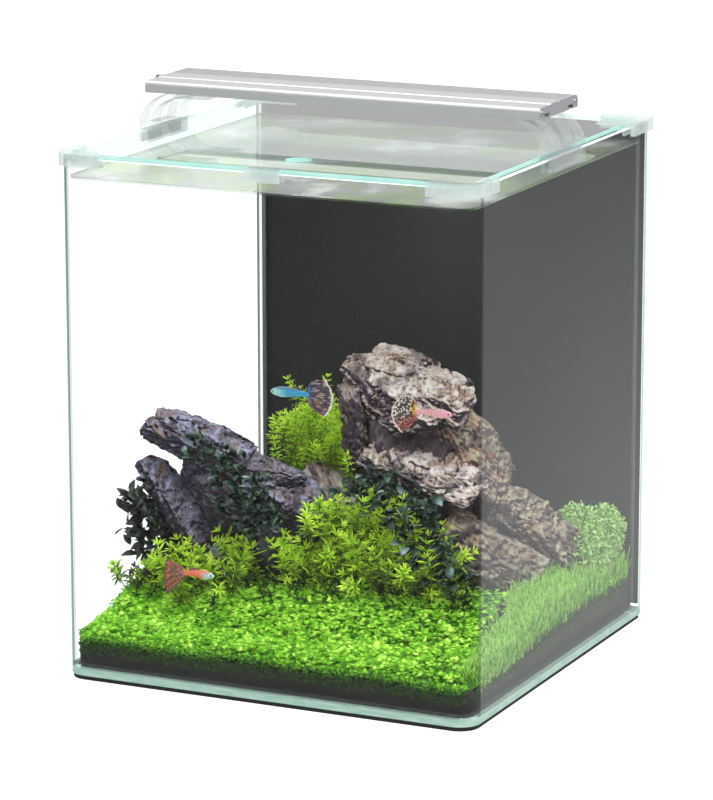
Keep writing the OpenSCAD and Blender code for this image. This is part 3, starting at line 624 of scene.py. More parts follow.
def foliage(name, dark, middle, light, tip, glow=0.12, gloss=0.42, vein=0.0):
    """Look of leaves: each leaf has its own tone and tips are lighter; a small depth paints shade on a leaf, and glow
    is painted light.
    """
    look = Look(name)
    tone, depth, along = look.fact("tone"), look.fact("depth"), look.fact("along")
    mottled = tone * 0.8 + look.noise(6 * mm) * 0.2
    colour = look.ramp(mottled, (0.12, dark), (0.45, middle), (0.85, light))
    colour = look.mix(along.between(0.45, 1.1), colour, tip)
    # Painted shade: leaves with a small depth are darkened towards a dark copy of the dark colour.
    colour = look.mix(depth.between(0.75, 0.05), colour, tuple(0.28 * part for part in dark))
    # Painted light: every leaf glows faintly in its own colour, as strong as glow.
    return look.finish(look.solid(
        Base_Color=colour, Roughness=look.noise(2 * mm) * 0.2 + gloss, Emission_Color=colour,
        Emission_Strength=glow, Normal=look.bump(look.noise(0.9 * mm), 0.2 * mm, 0.5)))


def leaves(name, shape, faces, spots, axes, look, slot, tone, depth, stands_for=()):
    """Many copies of one leaf in one piece; each copy has one tone and one depth, which sets its
    painted shade. What would reach into the glass is pressed flat against it."""
    points, all_faces = copies(shape, faces, spots, axes)
    points[:, :2] = np.clip(points[:, :2], 0.2 * mm - half_x, half_x - 0.2 * mm)
    repeat = len(shape)
    return piece(name, points, all_faces, look, slot, stands_for, tone=np.repeat(tone, repeat),
                 depth=np.repeat(depth, repeat), along=np.tile(shape[:, 0], len(spots)))


def aimed(along, up, length, width):
    """Frames for leaves that point along a direction, with their upper face as near up as can be."""
    along = along / np.linalg.norm(along, axis=1, keepdims=True)
    side = np.cross(up, along)
    side /= np.linalg.norm(side, axis=1, keepdims=True) + 1e-9
    top = np.cross(along, side)
    length, width = np.asarray(length).reshape(-1, 1), np.asarray(width).reshape(-1, 1)
    return np.stack([along * length, side * width, top * width], axis=1)


carpet_look = foliage("carpet_leaves", shade(46, 112, 6), shade(122, 196, 24), shade(200, 244, 96),
                      shade(164, 226, 60), 0.26)
round_leaf, round_faces = leaf_shape([[0.2, 0.4], [0.75, 0.42]], 0.18, 0.05, 0.06)

base_t, base_u = np.meshgrid(np.linspace(0, 1, 90), np.linspace(-1, 1, 260), indexing="ij")
base_v = -1 + base_t * (carpet_end(base_u) + 1)
carpet_top = np.stack([base_u * (half_x - bed_gap), bed_y(base_u, base_v), bed_height(base_u, base_v)], -1)
lumps = rough(carpet_top * np.array([1, 1, 0.2]), 9 * mm, 3, 5)
carpet_top[..., 2] += (2.6 + 1.9 * lumps + carpet_rise(base_u, base_t)) * mm
carpet_points, carpet_faces = sheet_solid(carpet_top, 0)
rim_points = len(carpet_points) - carpet_top.size // 3 - 1
under_rim = carpet_points[-rim_points - 1:-1]
under_rim[:, 2] = bed_height(under_rim[:, 0] / half_x, under_rim[:, 1] / half_y) - 2.5 * mm
carpet_points[-1] = (0, -0.09, floor_top + 14 * mm)
# Painted shade: the cushion's top carries a depth of 0.3 and its sides and floor none, so it is painted dark like the
# shade under the leaves.
flat_fact = np.full(len(carpet_points), 0.3)
flat_fact[-rim_points - 1:] = 0
piece("carpet_cushion", carpet_points, carpet_faces, carpet_look, "carpet_leaves", ["foreground_carpet"],
      tone=flat_fact * 0.6, depth=flat_fact, along=flat_fact * 0)

count = 16000
leaf_u = rng.uniform(-0.995, 0.995, count)
leaf_v = -1 + rng.uniform(0, 1, count) ** 1.15 * (carpet_end(leaf_u) + 1.04)
leaf_lift = rng.uniform(0, 1, count)
leaf_drop = rng.uniform(0, 1, count) ** 1.6 * ((leaf_v < -0.96) | (np.abs(leaf_u) > 0.975))
leaf_spot = np.stack([leaf_u * (half_x - 2 * mm), bed_y(leaf_u, leaf_v, 2 * mm), bed_height(leaf_u, leaf_v)], -1)
clump = rough(leaf_spot * np.array([1, 1, 0.2]), 9 * mm, 3, 5)
leaf_t = (leaf_v + 1) / (carpet_end(leaf_u) + 1)
leaf_spot[:, 2] += (2.6 + 2.1 * clump + leaf_lift * 5.2 - leaf_drop * 12
                    + carpet_rise(leaf_u, leaf_t)) * mm
leaf_axes = turned(count, 0.85) * (rng.uniform(2.8, 5.0, count) * mm)[:, None, None]
# Painted shade: leaves that sit low in the carpet or hang down at the glass get a small depth and are painted darker.
leaves("carpet_leaves", round_leaf - np.array([0.5, 0, 0]), round_faces, leaf_spot, leaf_axes, carpet_look,
       "carpet_leaves", np.clip(rng.normal(0.5, 0.2, count) + clump * 0.25, 0, 1), np.clip(0.15 + 0.85 * leaf_lift - leaf_drop, 0, 1))

# Small shaded leaves and roots against the glass hide the line between the carpet and the soil.
count = 4200
edge_pick, edge_along, edge_deep = rng.uniform(0, 1, (3, count))
edge_deep = edge_deep ** 1.4
edge_u = np.where(edge_pick < 0.55, edge_along * 1.99 - 0.995, np.where(edge_pick < 0.82, 1.0, -1.0))
edge_v = np.where(edge_pick < 0.55, -1.0, np.where(edge_pick < 0.82, edge_along * 1.9 - 0.97, edge_along * 0.45 - 0.97))
edge_spot = np.stack([edge_u * (half_x - bed_gap), bed_y(edge_u, edge_v), bed_height(edge_u, edge_v)
                      + (4 - 13 * edge_deep) * mm], -1)
edge_axes = turned(count) * (rng.uniform(1.8, 2.8, count) * mm)[:, None, None]
# Painted shade: the deeper a leaf sits, the lower its tone and its depth, so the darker it is painted.
leaves("carpet_roots", round_leaf - np.array([0.5, 0, 0]), round_faces, edge_spot, edge_axes, carpet_look,
       "carpet_leaves", rng.uniform(0, 0.7, count) * (1 - 0.7 * edge_deep), np.clip(0.75 - edge_deep, 0, 1))

grass_look = foliage("grass_blades", shade(58, 116, 22), shade(116, 176, 52), shade(176, 222, 104),
                     shade(172, 218, 96), 0.2)
blade, blade_faces = leaf_shape([[0.15, 0.5], [0.55, 0.42], [0.85, 0.2]], 0.3, 0.12, 0.05)
count = 12000
leaf_t = rng.uniform(0, 1, count)
leaf_u = 1 - (0.08 + 0.28 * leaf_t) * rng.uniform(0.04, 1, count) ** 1.2
leaf_v = -0.9 + leaf_t * (np.minimum(carpet_end(leaf_u) + 0.45, 0.97) + 0.9)
grass_spot = np.stack([leaf_u * half_x, bed_y(leaf_u, leaf_v), bed_height(leaf_u, leaf_v)
                       + rng.uniform(-6, 9, count) * mm], -1)
grass_lean = turned(count, 0.75)[:, 2]
grass_long = rng.uniform(5, 13, count) * (0.8 + 0.4 * np.clip(leaf_v + 0.8, 0, 1)) * mm
grass_axes = aimed(grass_lean, rng.normal(0, 1, (count, 3)), grass_long, np.full(count, 1.1 * mm))
# Painted shade: each blade gets a random depth, so some are painted darker.
leaves("side_grass", blade, blade_faces, grass_spot, grass_axes, grass_look, "carpet_leaves",
       rng.uniform(0.1, 1, count), rng.uniform(0.5, 1, count))

# ---- The stem plants ----
# Fine-leaved stems planted in bunches in front of the rocks, with a whorl of narrow leaves every
# few millimetres that closes to a star at the tip, and a taller bush behind them.


def bunches(table):
    """Roots and tips of stems, in mm. Each bunch is [x, y, half width, half depth, lowest tip,
    highest tip, stems]: stems start in its footprint and lean outwards, and its top is domed."""
    rows = np.array(table, float)
    rows = np.repeat(rows, rows[:, 6].astype(int), axis=0)
    n = len(rows)
    turn, reach = rng.uniform(0, 2 * math.pi, n), np.sqrt(rng.uniform(0, 1, n))
    x = np.clip(rows[:, 0] + rows[:, 2] * reach * np.cos(turn), -141, 141) * mm
    y = np.clip(rows[:, 1] + rows[:, 3] * reach * np.sin(turn), -141, 141) * mm
    root = np.stack([x, y, bed_height(x / half_x, y / half_y) - 1 * mm], -1)
    height = rows[:, 4] + (rows[:, 5] - rows[:, 4]) * rng.uniform(0, 1, n) ** 0.7 * (1 - 0.4 * reach ** 2)
    fan = np.stack([np.cos(turn), np.sin(turn)], -1) * (reach * rng.uniform(2, 16, n))[:, None]
    lean = fan + rng.normal(0, 9, (n, 2))
    tip = np.column_stack([root[:, :2] + lean * mm, height * mm])
    tip[:, :2] = np.clip(tip[:, :2], -half_x + 4 * mm, half_x - 4 * mm)
    return root, tip, rng.uniform(0, 1, n)


def bent(root, tip, at, bow):
    """Points and directions along bowed stems at the shares at: a straight run plus a sine."""
    straight = tip - root
    points = root[:, None] + straight[:, None] * at[None, :, None] + bow[:, None] * np.sin(
        math.pi * at)[None, :, None]
    aim = straight[:, None] + bow[:, None] * (math.pi * np.cos(math.pi * at))[None, :, None]
    return points, aim / np.linalg.norm(aim, axis=-1, keepdims=True)


def stem_tubes(name, root, tip, bow, radius, look, slot, tone):
    """Thin closed stems: rings of four points, narrowed at the tip and capped at both ends."""
    at = np.linspace(0, 1, 9)
    points, aim = bent(root, tip, at, bow)
    side = np.cross(aim, [0.3, 0.9, 0.1])
    side /= np.linalg.norm(side, axis=-1, keepdims=True)
    other = np.cross(aim, side)
    turn = np.arange(4) * math.pi / 2
    thick = radius * np.where(at == 1, 0.15, 1)
    ring = (side[:, :, None] * np.cos(turn)[:, None] + other[:, :, None] * np.sin(turn)[:, None])
    tube = points[:, :, None] + ring * thick[None, :, None, None]
    n = len(root)
    faces = grid(9, 4, True)[:, ::-1]
    caps = np.array([[0, 1, 2, 3], [35, 34, 33, 32]])[:, ::1]
    faces = np.concatenate([faces, caps])
    shift = np.arange(n)[:, None, None] * 36
    facts = np.repeat(tone, 36)
    # Painted shade: every stem carries a depth of 0.4, so it is painted darker than an open leaf.
    return piece(name, tube.reshape(-1, 3), (faces[None] + shift).reshape(-1, 4), look, slot, tone=facts,
                 depth=np.full(len(facts), 0.4), along=np.zeros(len(facts)))


def whorls(root, tip, bow, tone, gap, per_stem, per_whorl, leaf_long, leaf_wide):
    """Frames of the whorled leaves: at each joint of a stem, gap apart down from the tip, leaves
    spread evenly round it. Lower ones stand out flat, those at the tip close up to a star."""
    long = np.linalg.norm(tip - root, axis=1)
    below = np.arange(per_stem)[::-1] ** 1.1 * gap
    at = np.clip(1 - below[None, :] / long[:, None], 0.03, 1)
    straight = (tip - root)[:, None]
    points = root[:, None] + straight * at[..., None] + bow[:, None] * np.sin(math.pi * at)[..., None]
    aim = straight + bow[:, None] * (math.pi * np.cos(math.pi * at))[..., None]
    aim /= np.linalg.norm(aim, axis=-1, keepdims=True)
    n = len(root)
    side = np.cross(aim, [0.3, 0.9, 0.1])
    side /= np.linalg.norm(side, axis=-1, keepdims=True)
    other = np.cross(aim, side)
    turn = (rng.uniform(0, 2 * math.pi, (n, per_stem, 1))
            + np.arange(per_whorl) * 2 * math.pi / per_whorl + rng.normal(0, 0.3, (n, per_stem, per_whorl)))
    out = side[:, :, None] * np.cos(turn)[..., None] + other[:, :, None] * np.sin(turn)[..., None]
    near_tip = (np.arange(per_stem) / (per_stem - 1))[None, :, None]
    rise = (0.2 + 0.95 * near_tip ** 3) * rng.uniform(0.5, 1.4, turn.shape)
    along = out + aim[:, :, None] * rise[..., None]
    length = leaf_long * (1 - 0.3 * near_tip ** 4) * rng.uniform(0.7, 1.15, turn.shape)
    spots = np.broadcast_to(points[:, :, None], along.shape).reshape(-1, 3)
    up = np.broadcast_to(aim[:, :, None], along.shape).reshape(-1, 3)
    axes = aimed(along.reshape(-1, 3), up, length.ravel(), length.ravel() * leaf_wide / leaf_long)
    tones = np.clip(tone[:, None, None] * 0.45 + 0.45 * near_tip + rng.normal(0, 0.1, turn.shape), 0, 1).ravel()
    # Painted shade: leaves in the lower whorls get a smaller depth, so they are painted darker.
    depth = np.broadcast_to(0.35 + 0.65 * near_tip, turn.shape).ravel()
    return spots, axes, tones, depth


bright_look = foliage("bright_leaves", shade(70, 112, 10), shade(160, 214, 26), shade(216, 250, 80),
                      shade(222, 250, 92), 0.16)
stem_look = foliage("stems", shade(70, 86, 26), shade(110, 130, 40), shade(140, 160, 60), shade(150, 170, 70))
narrow_leaf, narrow_faces = leaf_shape([[0.18, 0.42], [0.55, 0.5], [0.85, 0.25]], 0.35, 0.1, 0.08)

front_bunches = [
    [10, -37, 26, 9, 62, 124, 58], [-24, -45, 22, 8, 58, 98, 34], [44, -39, 26, 9, 58, 94, 38],
    [76, -36, 16, 8, 56, 104, 12], [-54, -58, 20, 7, 56, 98, 24], [-84, -73, 22, 7, 56, 88, 30],
    [-112, -70, 12, 8, 54, 76, 10], [-134, -74, 4, 4, 62, 68, 3], [48, -34, 18, 8, 92, 122, 8]]
root, tip, tone = bunches(front_bunches)
bow = rng.normal(0, 8 * mm, root.shape) * np.array([1, 1, 0.4])
stem_tubes("stem_plant_stems", root, tip, bow, 0.4 * mm, stem_look, "bright_leaves", tone * 0.6)
spots, axes, tones, depth = whorls(root, tip, bow, tone, 4.6 * mm, 4, 8, 9.2 * mm, 1.8 * mm)
leaves("stem_plant_leaves", narrow_leaf, narrow_faces, spots, axes, bright_look, "bright_leaves", tones, depth,
       ["stem_plants"])

bush_table = [[-42, 34, 18, 15, 126, 170, 100], [-60, 32, 6, 6, 124, 156, 6], [-28, 32, 11, 12, 124, 168, 50],
              [-52, 34, 4, 4, 174, 178, 3]]
root, tip, tone = bunches(bush_table)
bow = rng.normal(0, 8 * mm, root.shape) * np.array([1, 1, 0.4])
stem_tubes("rear_bush_stems", root, tip, bow, 0.4 * mm, stem_look, "bright_leaves", tone * 0.6)
spots, axes, tones, depth = whorls(root, tip, bow, tone, 3.2 * mm, 6, 7, 6.4 * mm, 1.4 * mm)
leaves("rear_bush_leaves", narrow_leaf, narrow_faces, spots, axes, bright_look, "bright_leaves", tones, depth,
       ["rear_bush"])

# ---- The broad-leaved plants ----
# Slow plants tied to the rocks: leathery dark blue-green leaves on short stalks. One group grows
# on the left slabs, one in front of the big rock, and a ragged one hangs at the left end.

broad_look = foliage("broad_leaves", shade(10, 22, 20), shade(28, 54, 42), shade(84, 118, 92),
                     shade(112, 144, 122), 0.02, 0.12)
# Painted highlight: a few copies of the dark leaves get this pale look in place of the sheen that glossy leaves catch.
sheen_leaf_look = foliage("painted_sheen_leaves", shade(60, 88, 84), shade(120, 150, 150), shade(178, 200, 206),
                      shade(190, 212, 214), 0.04, 0.2)
broad_leaf, broad_faces = leaf_shape(
    [[0.08, 0.12], [0.22, 0.33], [0.42, 0.46], [0.62, 0.42], [0.8, 0.26], [0.93, 0.1]], 0.22, 0.3, 0.03)


def broad_plants(name, spots, aim, count, size, spread, node_names, look, share_pale=0.12):
    """Leaves that fan out from points on a rock, all round the aim, with their faces up."""
    pick = rng.integers(0, len(spots), count)
    foot = np.array(spots)[pick] * mm + rng.normal(0, spread * mm, (count, 3))
    along = np.array(aim) + rng.normal(0, 0.65, (count, 3))
    length = rng.uniform(0.7, 1.2, count) * size * mm
    axes = aimed(along, np.array([0, -0.35, 1]) + rng.normal(0, 0.3, (count, 3)), length, length * 0.62)
    # Painted shade: each leaf gets a random depth, so some are painted darker.
    return leaves(name, broad_leaf, broad_faces, foot, axes, look, "dark_leaves",
                  np.clip(rng.beta(1.5, 2.5, count), 0, 1), rng.uniform(0.35, 1, count), node_names)


left_spots = [(-86, -74, 150), (-74, -76, 146), (-62, -76, 141), (-50, -74, 134), (-40, -72, 124), (-68, -78, 132),
              (-54, -78, 122), (-42, -76, 112), (-30, -70, 106), (-60, -76, 112), (-46, -74, 100)]
broad_plants("left_rock_leaves", left_spots, (0.1, -0.7, 0.35), 190, 10, 4, ["left_rock_leaves"], broad_look)
broad_plants("left_rock_sheen_leaves", left_spots[:6], (0.1, -0.6, 0.6), 12, 10, 5, [], sheen_leaf_look)
centre_spots = [(30, -34, 132), (44, -34, 126), (56, -34, 118), (68, -34, 112), (40, -38, 108), (54, -38, 100),
                (70, -36, 96), (80, -36, 86), (62, -40, 84), (24, -38, 118), (14, -40, 124), (84, -38, 72)]
broad_plants("centre_leaves", centre_spots, (0.05, -0.7, 0.3), 250, 10, 5, ["centre_leaves"], broad_look)
broad_plants("centre_sheen_leaves", centre_spots, (0.05, -0.7, 0.5), 34, 10, 6, [], sheen_leaf_look)
fern_look = foliage("left_fern", shade(10, 16, 12), shade(26, 36, 26), shade(48, 62, 46), shade(60, 72, 54),
                    0.0, 0.35)
fern_spots = [(-134, -72, 108), (-128, -66, 100), (-130, -70, 90), (-128, -70, 80), (-124, -68, 70), (-120, -60, 98),
              (-116, -60, 84), (-114, -62, 74), (-108, -62, 66), (-112, -56, 92)]
broad_plants("left_fern", fern_spots, (-0.35, -0.3, 0.1), 300, 11, 6, ["left_fern"], fern_look)

# ---- The moss band ----
# Tangled dark stems and shaded lower leaves at the foot of the slabs, between the carpet and the
# bright tips.

moss_look = foliage("moss", shade(12, 22, 8), shade(34, 58, 18), shade(84, 122, 34), shade(96, 136, 40),
                    0.02, 0.6)
moss_table = [[-92, -64, 40, 8, 44, 70, 60], [-30, -46, 40, 9, 50, 78, 70], [46, -34, 54, 9, 50, 88, 90],
              [-116, -58, 14, 12, 50, 76, 26]]
root, tip, tone = bunches(moss_table)
bow = rng.normal(0, 8 * mm, root.shape) * np.array([1, 1, 0.3])
stem_tubes("moss_stems", root, tip, bow, 0.5 * mm, moss_look, "moss", tone * 0.4)
spots, axes, tones, depth = whorls(root, tip, bow, tone, 4 * mm, 6, 5, 5.5 * mm, 1.6 * mm)
leaves("moss_leaves", narrow_leaf, narrow_faces, spots, axes, moss_look, "moss", tones, depth, ["moss_band"])

# ---- The corner bush ----
# A rounded bush of small oval leaves in the right rear corner, with the tips of its shoots at
# the glass.

bush_look = foliage("corner_bush", shade(76, 128, 44), shade(138, 188, 88), shade(200, 230, 150),
                    shade(204, 232, 156), 0.2)
oval_leaf, oval_faces = leaf_shape([[0.25, 0.36], [0.7, 0.34]], 0.25, 0.1, 0.07)
corner_table = [[118, 112, 20, 24, 48, 88, 84], [130, 126, 10, 12, 60, 97, 30], [98, 104, 12, 18, 44, 66, 24]]
root, tip, tone = bunches(corner_table)
bow = rng.normal(0, 3 * mm, root.shape) * np.array([1, 1, 0.2])
stem_tubes("corner_bush_stems", root, tip, bow, 0.35 * mm, stem_look, "bush_leaves", tone * 0.6)
count = 9000
lobes = np.array([[118, 116, 60, 25, 24, 22], [131, 126, 66, 13, 16, 18], [100, 112, 52, 18, 18, 14],
                  [128, 102, 54, 16, 18, 16], [110, 126, 64, 14, 16, 18]])[rng.integers(0, 5, count)]
outward = rng.normal(0, 1, (count, 3))
outward /= np.linalg.norm(outward, axis=1, keepdims=True)
bush_spot = (lobes[:, :3] + lobes[:, 3:] * outward * rng.uniform(0.3, 1.15, (count, 1)) ** 0.6) * mm
bush_spot[:, :2] = np.clip(bush_spot[:, :2], None, half_x - 3 * mm)
ground = bed_height(bush_spot[:, 0] / half_x, bush_spot[:, 1] / half_y)
bush_spot[:, 2] = np.maximum(bush_spot[:, 2], ground)
bush_axes = aimed(outward + rng.normal(0, 0.8, (count, 3)), np.array([0, 0, 1]) + outward * 0.6,
                  rng.uniform(3.0, 4.8, count) * mm, rng.uniform(2.4, 3.6, count) * mm)
# Painted shade: leaves on the underside of the bush get a smaller depth and are painted darker.
leaves("corner_bush_leaves", oval_leaf, oval_faces, bush_spot, bush_axes, bush_look, "bush_leaves",
       rng.uniform(0.1, 0.9, count), 0.3 + 0.7 * np.clip(outward[:, 2] * 0.5 + 0.6, 0, 1), ["corner_bush"])

# ---- The water ----
# Only its surface shows: a flat sheet with a raised rim where it wets the glass. It has no solid
# of its own.

water_z = rim_z - 14 * mm
water_look = Look("water_surface")
water_slant = water_look.node("ShaderNodeLayerWeight", None, {"Blend": 0.5}, "Facing")
wobble = water_look.noise(34 * mm, detail=2.0)
# Painted reflection: seen at a slant the surface turns to a diffuse patchy grey, green and near white, in place of what
# it mirrors.
reflection_tints = water_look.ramp(water_look.noise(44 * mm, (1, 0.6, 1), 4.0), (0.36, shade(118, 120, 118)),
                        (0.46, shade(150, 172, 100)), (0.54, shade(150, 144, 150)), (0.66, shade(226, 228, 220)))
ripples = water_look.bump(wobble, 0.3 * mm, 0.3)
water_through = water_look.node("ShaderNodeBsdfTransparent", None, {"Color": (0.95, 0.98, 0.96)})
water_painted_reflection = water_look.solid(Base_Color=reflection_tints, Roughness=0.1, Normal=ripples)
water_shine = water_look.node("ShaderNodeBsdfAnisotropic", None,
                              {"Color": (1, 1, 1), "Roughness": 0.04, "Normal": ripples})
water_body = water_look.blend(water_slant.between(0.2, 0.75) * 0.44, water_through, water_painted_reflection)
water_look.finish(water_look.blend(water_slant ** 5.0 * 0.35 + 0.02, water_body, water_shine))
water_v, water_u = np.meshgrid(np.sin(np.linspace(-1, 1, 120) * math.pi / 2), np.sin(
    np.linspace(-1, 1, 120) * math.pi / 2), indexing="ij")
water_top = np.stack([water_u * (half_x - 0.4 * mm), bed_y(water_u, water_v, 0.4 * mm),
                      np.full_like(water_u, water_z)], -1)
shore = np.minimum((1 - np.abs(water_u)) * half_x, (1 - np.abs(water_v)) * half_y)
water_top[..., 2] += 1.3 * mm * np.exp(-shore / (1.6 * mm))
water_points, water_faces = sheet_solid(water_top, water_z - 0.5 * mm)
piece("water_surface", water_points, water_faces, water_look, "tank_glass")

# ---- The fish ----
# Three small livebearers with slim bodies and large fan tails: a red one low on the left, a blue
# one in the middle and a pink one on the right.


def fish_body(long, deep, thick, rings=40, sides=24):
    """A spindle along X from nose to tail root: its depth swells quickly behind the head and
    thins to the tail root. Closed at both ends."""
    s = (1 - np.cos(np.linspace(0, math.pi, rings))) / 2
    swell = smooth_curve([0, 0.1, 0.3, 0.5, 0.75, 1], [0.05, 0.62, 1, 0.92, 0.6, 0.46], s) * np.clip(
        np.sin(math.pi * s) * 9, 0, 1) ** 0.5
    width = smooth_curve([0, 0.1, 0.3, 0.5, 0.75, 1], [0.1, 0.75, 1, 0.8, 0.4, 0.2], s) * np.clip(
        np.sin(math.pi * s) * 9, 0, 1) ** 0.5
    turn = 2 * math.pi * np.arange(sides) / sides
    x = np.broadcast_to(-s[:, None] * long, (rings, sides))
    y = width[:, None] * thick * np.cos(turn)
    z = swell[:, None] * deep * np.sin(turn) + deep * 0.12 * np.sin(math.pi * s)[:, None]
    return np.stack([x, y, z], -1).reshape(-1, 3), grid(rings, sides, True)


def fin(long, half_high, droop, ripple, thick, root_high, flare=0.38, bulge=0.42, rows=26, columns=40):
    """A fan along -X from its root, thin at the rim. It widens with its length to the power
    flare, its rim bulges, it droops, and folds run out along its rays. A closed sheet."""
    out, across = np.meshgrid(np.linspace(0, 1, rows), np.linspace(-1, 1, columns), indexing="ij")
    reach = out * (1 - bulge * across ** 2)
    high = root_high + (half_high - root_high) * out ** flare
    fold = ripple * out * np.sin(across * 16)
    sheets = []
    for sign in (1, -1):
        body = thick * (1 - 0.75 * out) * (1 - across ** 8) * sign
        sheets.append(np.stack([-reach * long, fold + body, across * high - droop * out ** 1.4], -1))
    front = grid(rows, columns)
    points = np.concatenate([sheets[0].reshape(-1, 3), sheets[1].reshape(-1, 3)])
    shift = rows * columns
    ids = np.arange(shift).reshape(rows, columns)
    rim = np.concatenate([ids[0, :], ids[1:, -1], ids[-1, -2::-1], ids[-2:0:-1, 0]])
    nxt = np.roll(rim, -1)
    sides = np.stack([rim, rim + shift, nxt + shift, nxt], -1)
    return points, [front[:, ::-1], front + shift, sides], np.concatenate([out.ravel(), out.ravel()]), \
        np.concatenate([across.ravel(), across.ravel()])


def fish_look(name, head, flank, back_colour, tail_root, tail_main, tail_low, tail_spot, rim, rays, rings):
    """Scales that run from head to flank colour, and a tail whose dark marks lie in rays across
    it and rings along it. The mesh carries run (0 nose, 1 tail root, up to 2 at the tail's rim)
    and rise (-1 to 1)."""
    look = Look(name)
    run, rise = look.fact("run"), look.fact("rise")
    body = look.mix(run.between(0.2, 0.5), head, flank)
    body = look.mix(rise.between(0.35, 0.9), body, back_colour)
    body = look.mix(rise.between(-0.5, -0.95) * 0.5, body, shade(232, 226, 220))
    scales = look.cells(1.0 * mm)
    body = look.mix(scales.between(0.35, 0.75) * 0.5, body, tuple(0.35 * part for part in flank))
    fan = look.node("ShaderNodeCombineXYZ", None, [rise * rays, run * rings, 0.0])
    marks = look.node("ShaderNodeTexVoronoi", None, {"Vector": fan, "Scale": 1.0}).between(0.30, 0.5)
    tail = look.mix(run.between(1.05, 1.5), tail_root, tail_main)
    tail = look.mix(rise.between(0.1, -0.8), tail, tail_low)
    tail = look.mix(marks * run.between(1.02, 1.15), tail, tail_spot)
    tail = look.mix(run.between(1.88, 1.95), tail, rim)
    colour = look.mix(run.between(0.97, 1.03), body, tail)
    # Painted light: the fish glow faintly in their own colour.
    return look.finish(look.solid(
        Base_Color=colour, Roughness=0.28, Coat_Weight=0.4, Emission_Color=colour, Emission_Strength=0.12,
        Normal=look.bump(scales, 0.08 * mm)))


def swim(name, node, nose, look, body_share, deep, tail_high, droop, flare, bulge):
    """Sets a fish into its CAD solid's box, nose along +X or -X: body, tail, back fin and eyes."""
    low, high = (np.array(corner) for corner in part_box(node))
    length = high[0] - low[0]
    middle = (low + high) / 2
    start = np.array([high[0] if nose > 0 else low[0], middle[1], middle[2]])
    body_long = length * body_share
    points, faces = fish_body(body_long, deep, deep * 0.62)
    run, rise = -points[:, 0] / body_long, points[:, 2] / deep
    tail, tail_faces, out, across = fin(length - body_long * 0.97, tail_high, droop, 0.5 * mm, 0.28 * mm,
                                        deep * 0.42, flare, bulge)
    tail[:, 0] -= body_long * 0.97
    back, back_faces, back_out, back_across = fin(6.5 * mm, 2.6 * mm, 1.2 * mm, 0.2 * mm, 0.2 * mm, 0.8 * mm, 0.5, 0.3, 12, 20)
    back = back + np.array([-body_long * 0.58, 0, deep * 0.95])
    n, m = len(points), len(tail)
    everything = np.concatenate([points, tail, back])
    groups = [faces[:, ::-1]] + [f + n for f in tail_faces] + [f + n + m for f in back_faces]
    everything = everything * np.array([nose, 1, 1])
    if nose < 0:
        groups = [f[:, ::-1] for f in groups]
    runs = np.concatenate([run, 1.02 + out * 0.95, 1.3 + back_out * 0.6])
    rises = np.concatenate([rise, across, back_across])
    piece(name, everything + start, groups, look, node, [node], run=runs, rise=rises)
    eye_points, eye_faces = ball(7, 12)
    spots = start + np.array([[-body_long * 0.1 * nose, side * deep * 0.36, deep * 0.16] for side in (-1, 1)])
    eye_axes = np.tile(np.eye(3) * 0.62 * mm, (2, 1, 1))
    points, faces = copies(eye_points, eye_faces, spots, eye_axes)
    piece(name + "_eyes", points, faces, eye_look, node)


eye_look = Look("fish_eye")
eye_look.finish(eye_look.solid(Base_Color=eye_look.mix(eye_look.noise(0.6 * mm), shade(8, 8, 10), shade(34, 34, 40)),
                               Roughness=0.08, Coat_Weight=1.0))
red_look = fish_look("red_fish", shade(170, 214, 222), shade(226, 104, 60), shade(214, 120, 90),
                     shade(226, 120, 84), shade(218, 84, 56), shade(206, 40, 22), shade(66, 62, 48),
                     shade(120, 30, 30), 11, 13)
blue_look = fish_look("blue_fish", shade(150, 204, 190), shade(16, 140, 180), shade(60, 96, 120),
                      shade(20, 90, 170), shade(176, 138, 130), shade(150, 100, 92), shade(16, 14, 24),
                      shade(225, 220, 215), 13, 4)
pink_look = fish_look("pink_fish", shade(226, 150, 170), shade(214, 156, 160), shade(170, 130, 130),
                      shade(236, 180, 60), shade(220, 206, 196), shade(206, 70, 50), shade(24, 18, 20),
                      shade(210, 190, 186), 9, 13)
swim("red_fish", "red_fish", 1, red_look, 0.60, 3.3 * mm, 12.5 * mm, 4.5 * mm, 0.7, 0.1)
swim("blue_fish", "blue_fish", -1, blue_look, 0.62, 3.7 * mm, 13 * mm, 1 * mm, 0.3, 0.34)
swim("pink_fish", "pink_fish", 1, pink_look, 0.60, 3.2 * mm, 12.5 * mm, 3 * mm, 0.38, 0.42)

# ---- The rim clips ----
# Clear moulded clips pushed over the rim at the corners and in the middle of the front. Their
# ledges carry the cover glass. They look clear on their faces, with painted grey shade along their outlines.


def clear_plastic(name, cloud, outline, cloudy=0.25, gleam=0.6):
    """Moulded plastic: mostly see-through, faintly milky, mirror-like at a slant and painted dark along its outlines as
    shade.
    """
    look = Look(name)
    slant = look.node("ShaderNodeLayerWeight", None, {"Blend": 0.5}, "Facing")
    through = look.node("ShaderNodeBsdfTransparent", None, {"Color": (0.94, 0.96, 0.96)})
    milky = look.solid(Base_Color=look.mix(look.noise(5 * mm), cloud, shade(250, 252, 252)), Roughness=0.25,
                       Normal=look.bump(look.noise(9 * mm), 0.15 * mm))
    dark = look.node("ShaderNodeBsdfTransparent", None, {"Color": outline})
    shine = look.node("ShaderNodeBsdfAnisotropic", None, {"Color": (1, 1, 1), "Roughness": 0.05})
    body = look.blend(look.noise(22 * mm).between(0.3, 0.75) * 0.1 + cloudy, through, milky)
    # Painted shade: faces seen at a steep slant turn to the dark outline colour, in place of the darkening that
    # refraction gives.
    body = look.blend(slant.between(0.72, 0.98) * 0.8, body, dark)
    return look.finish(look.blend(slant ** 3.0 * gleam + 0.05, body, shine))


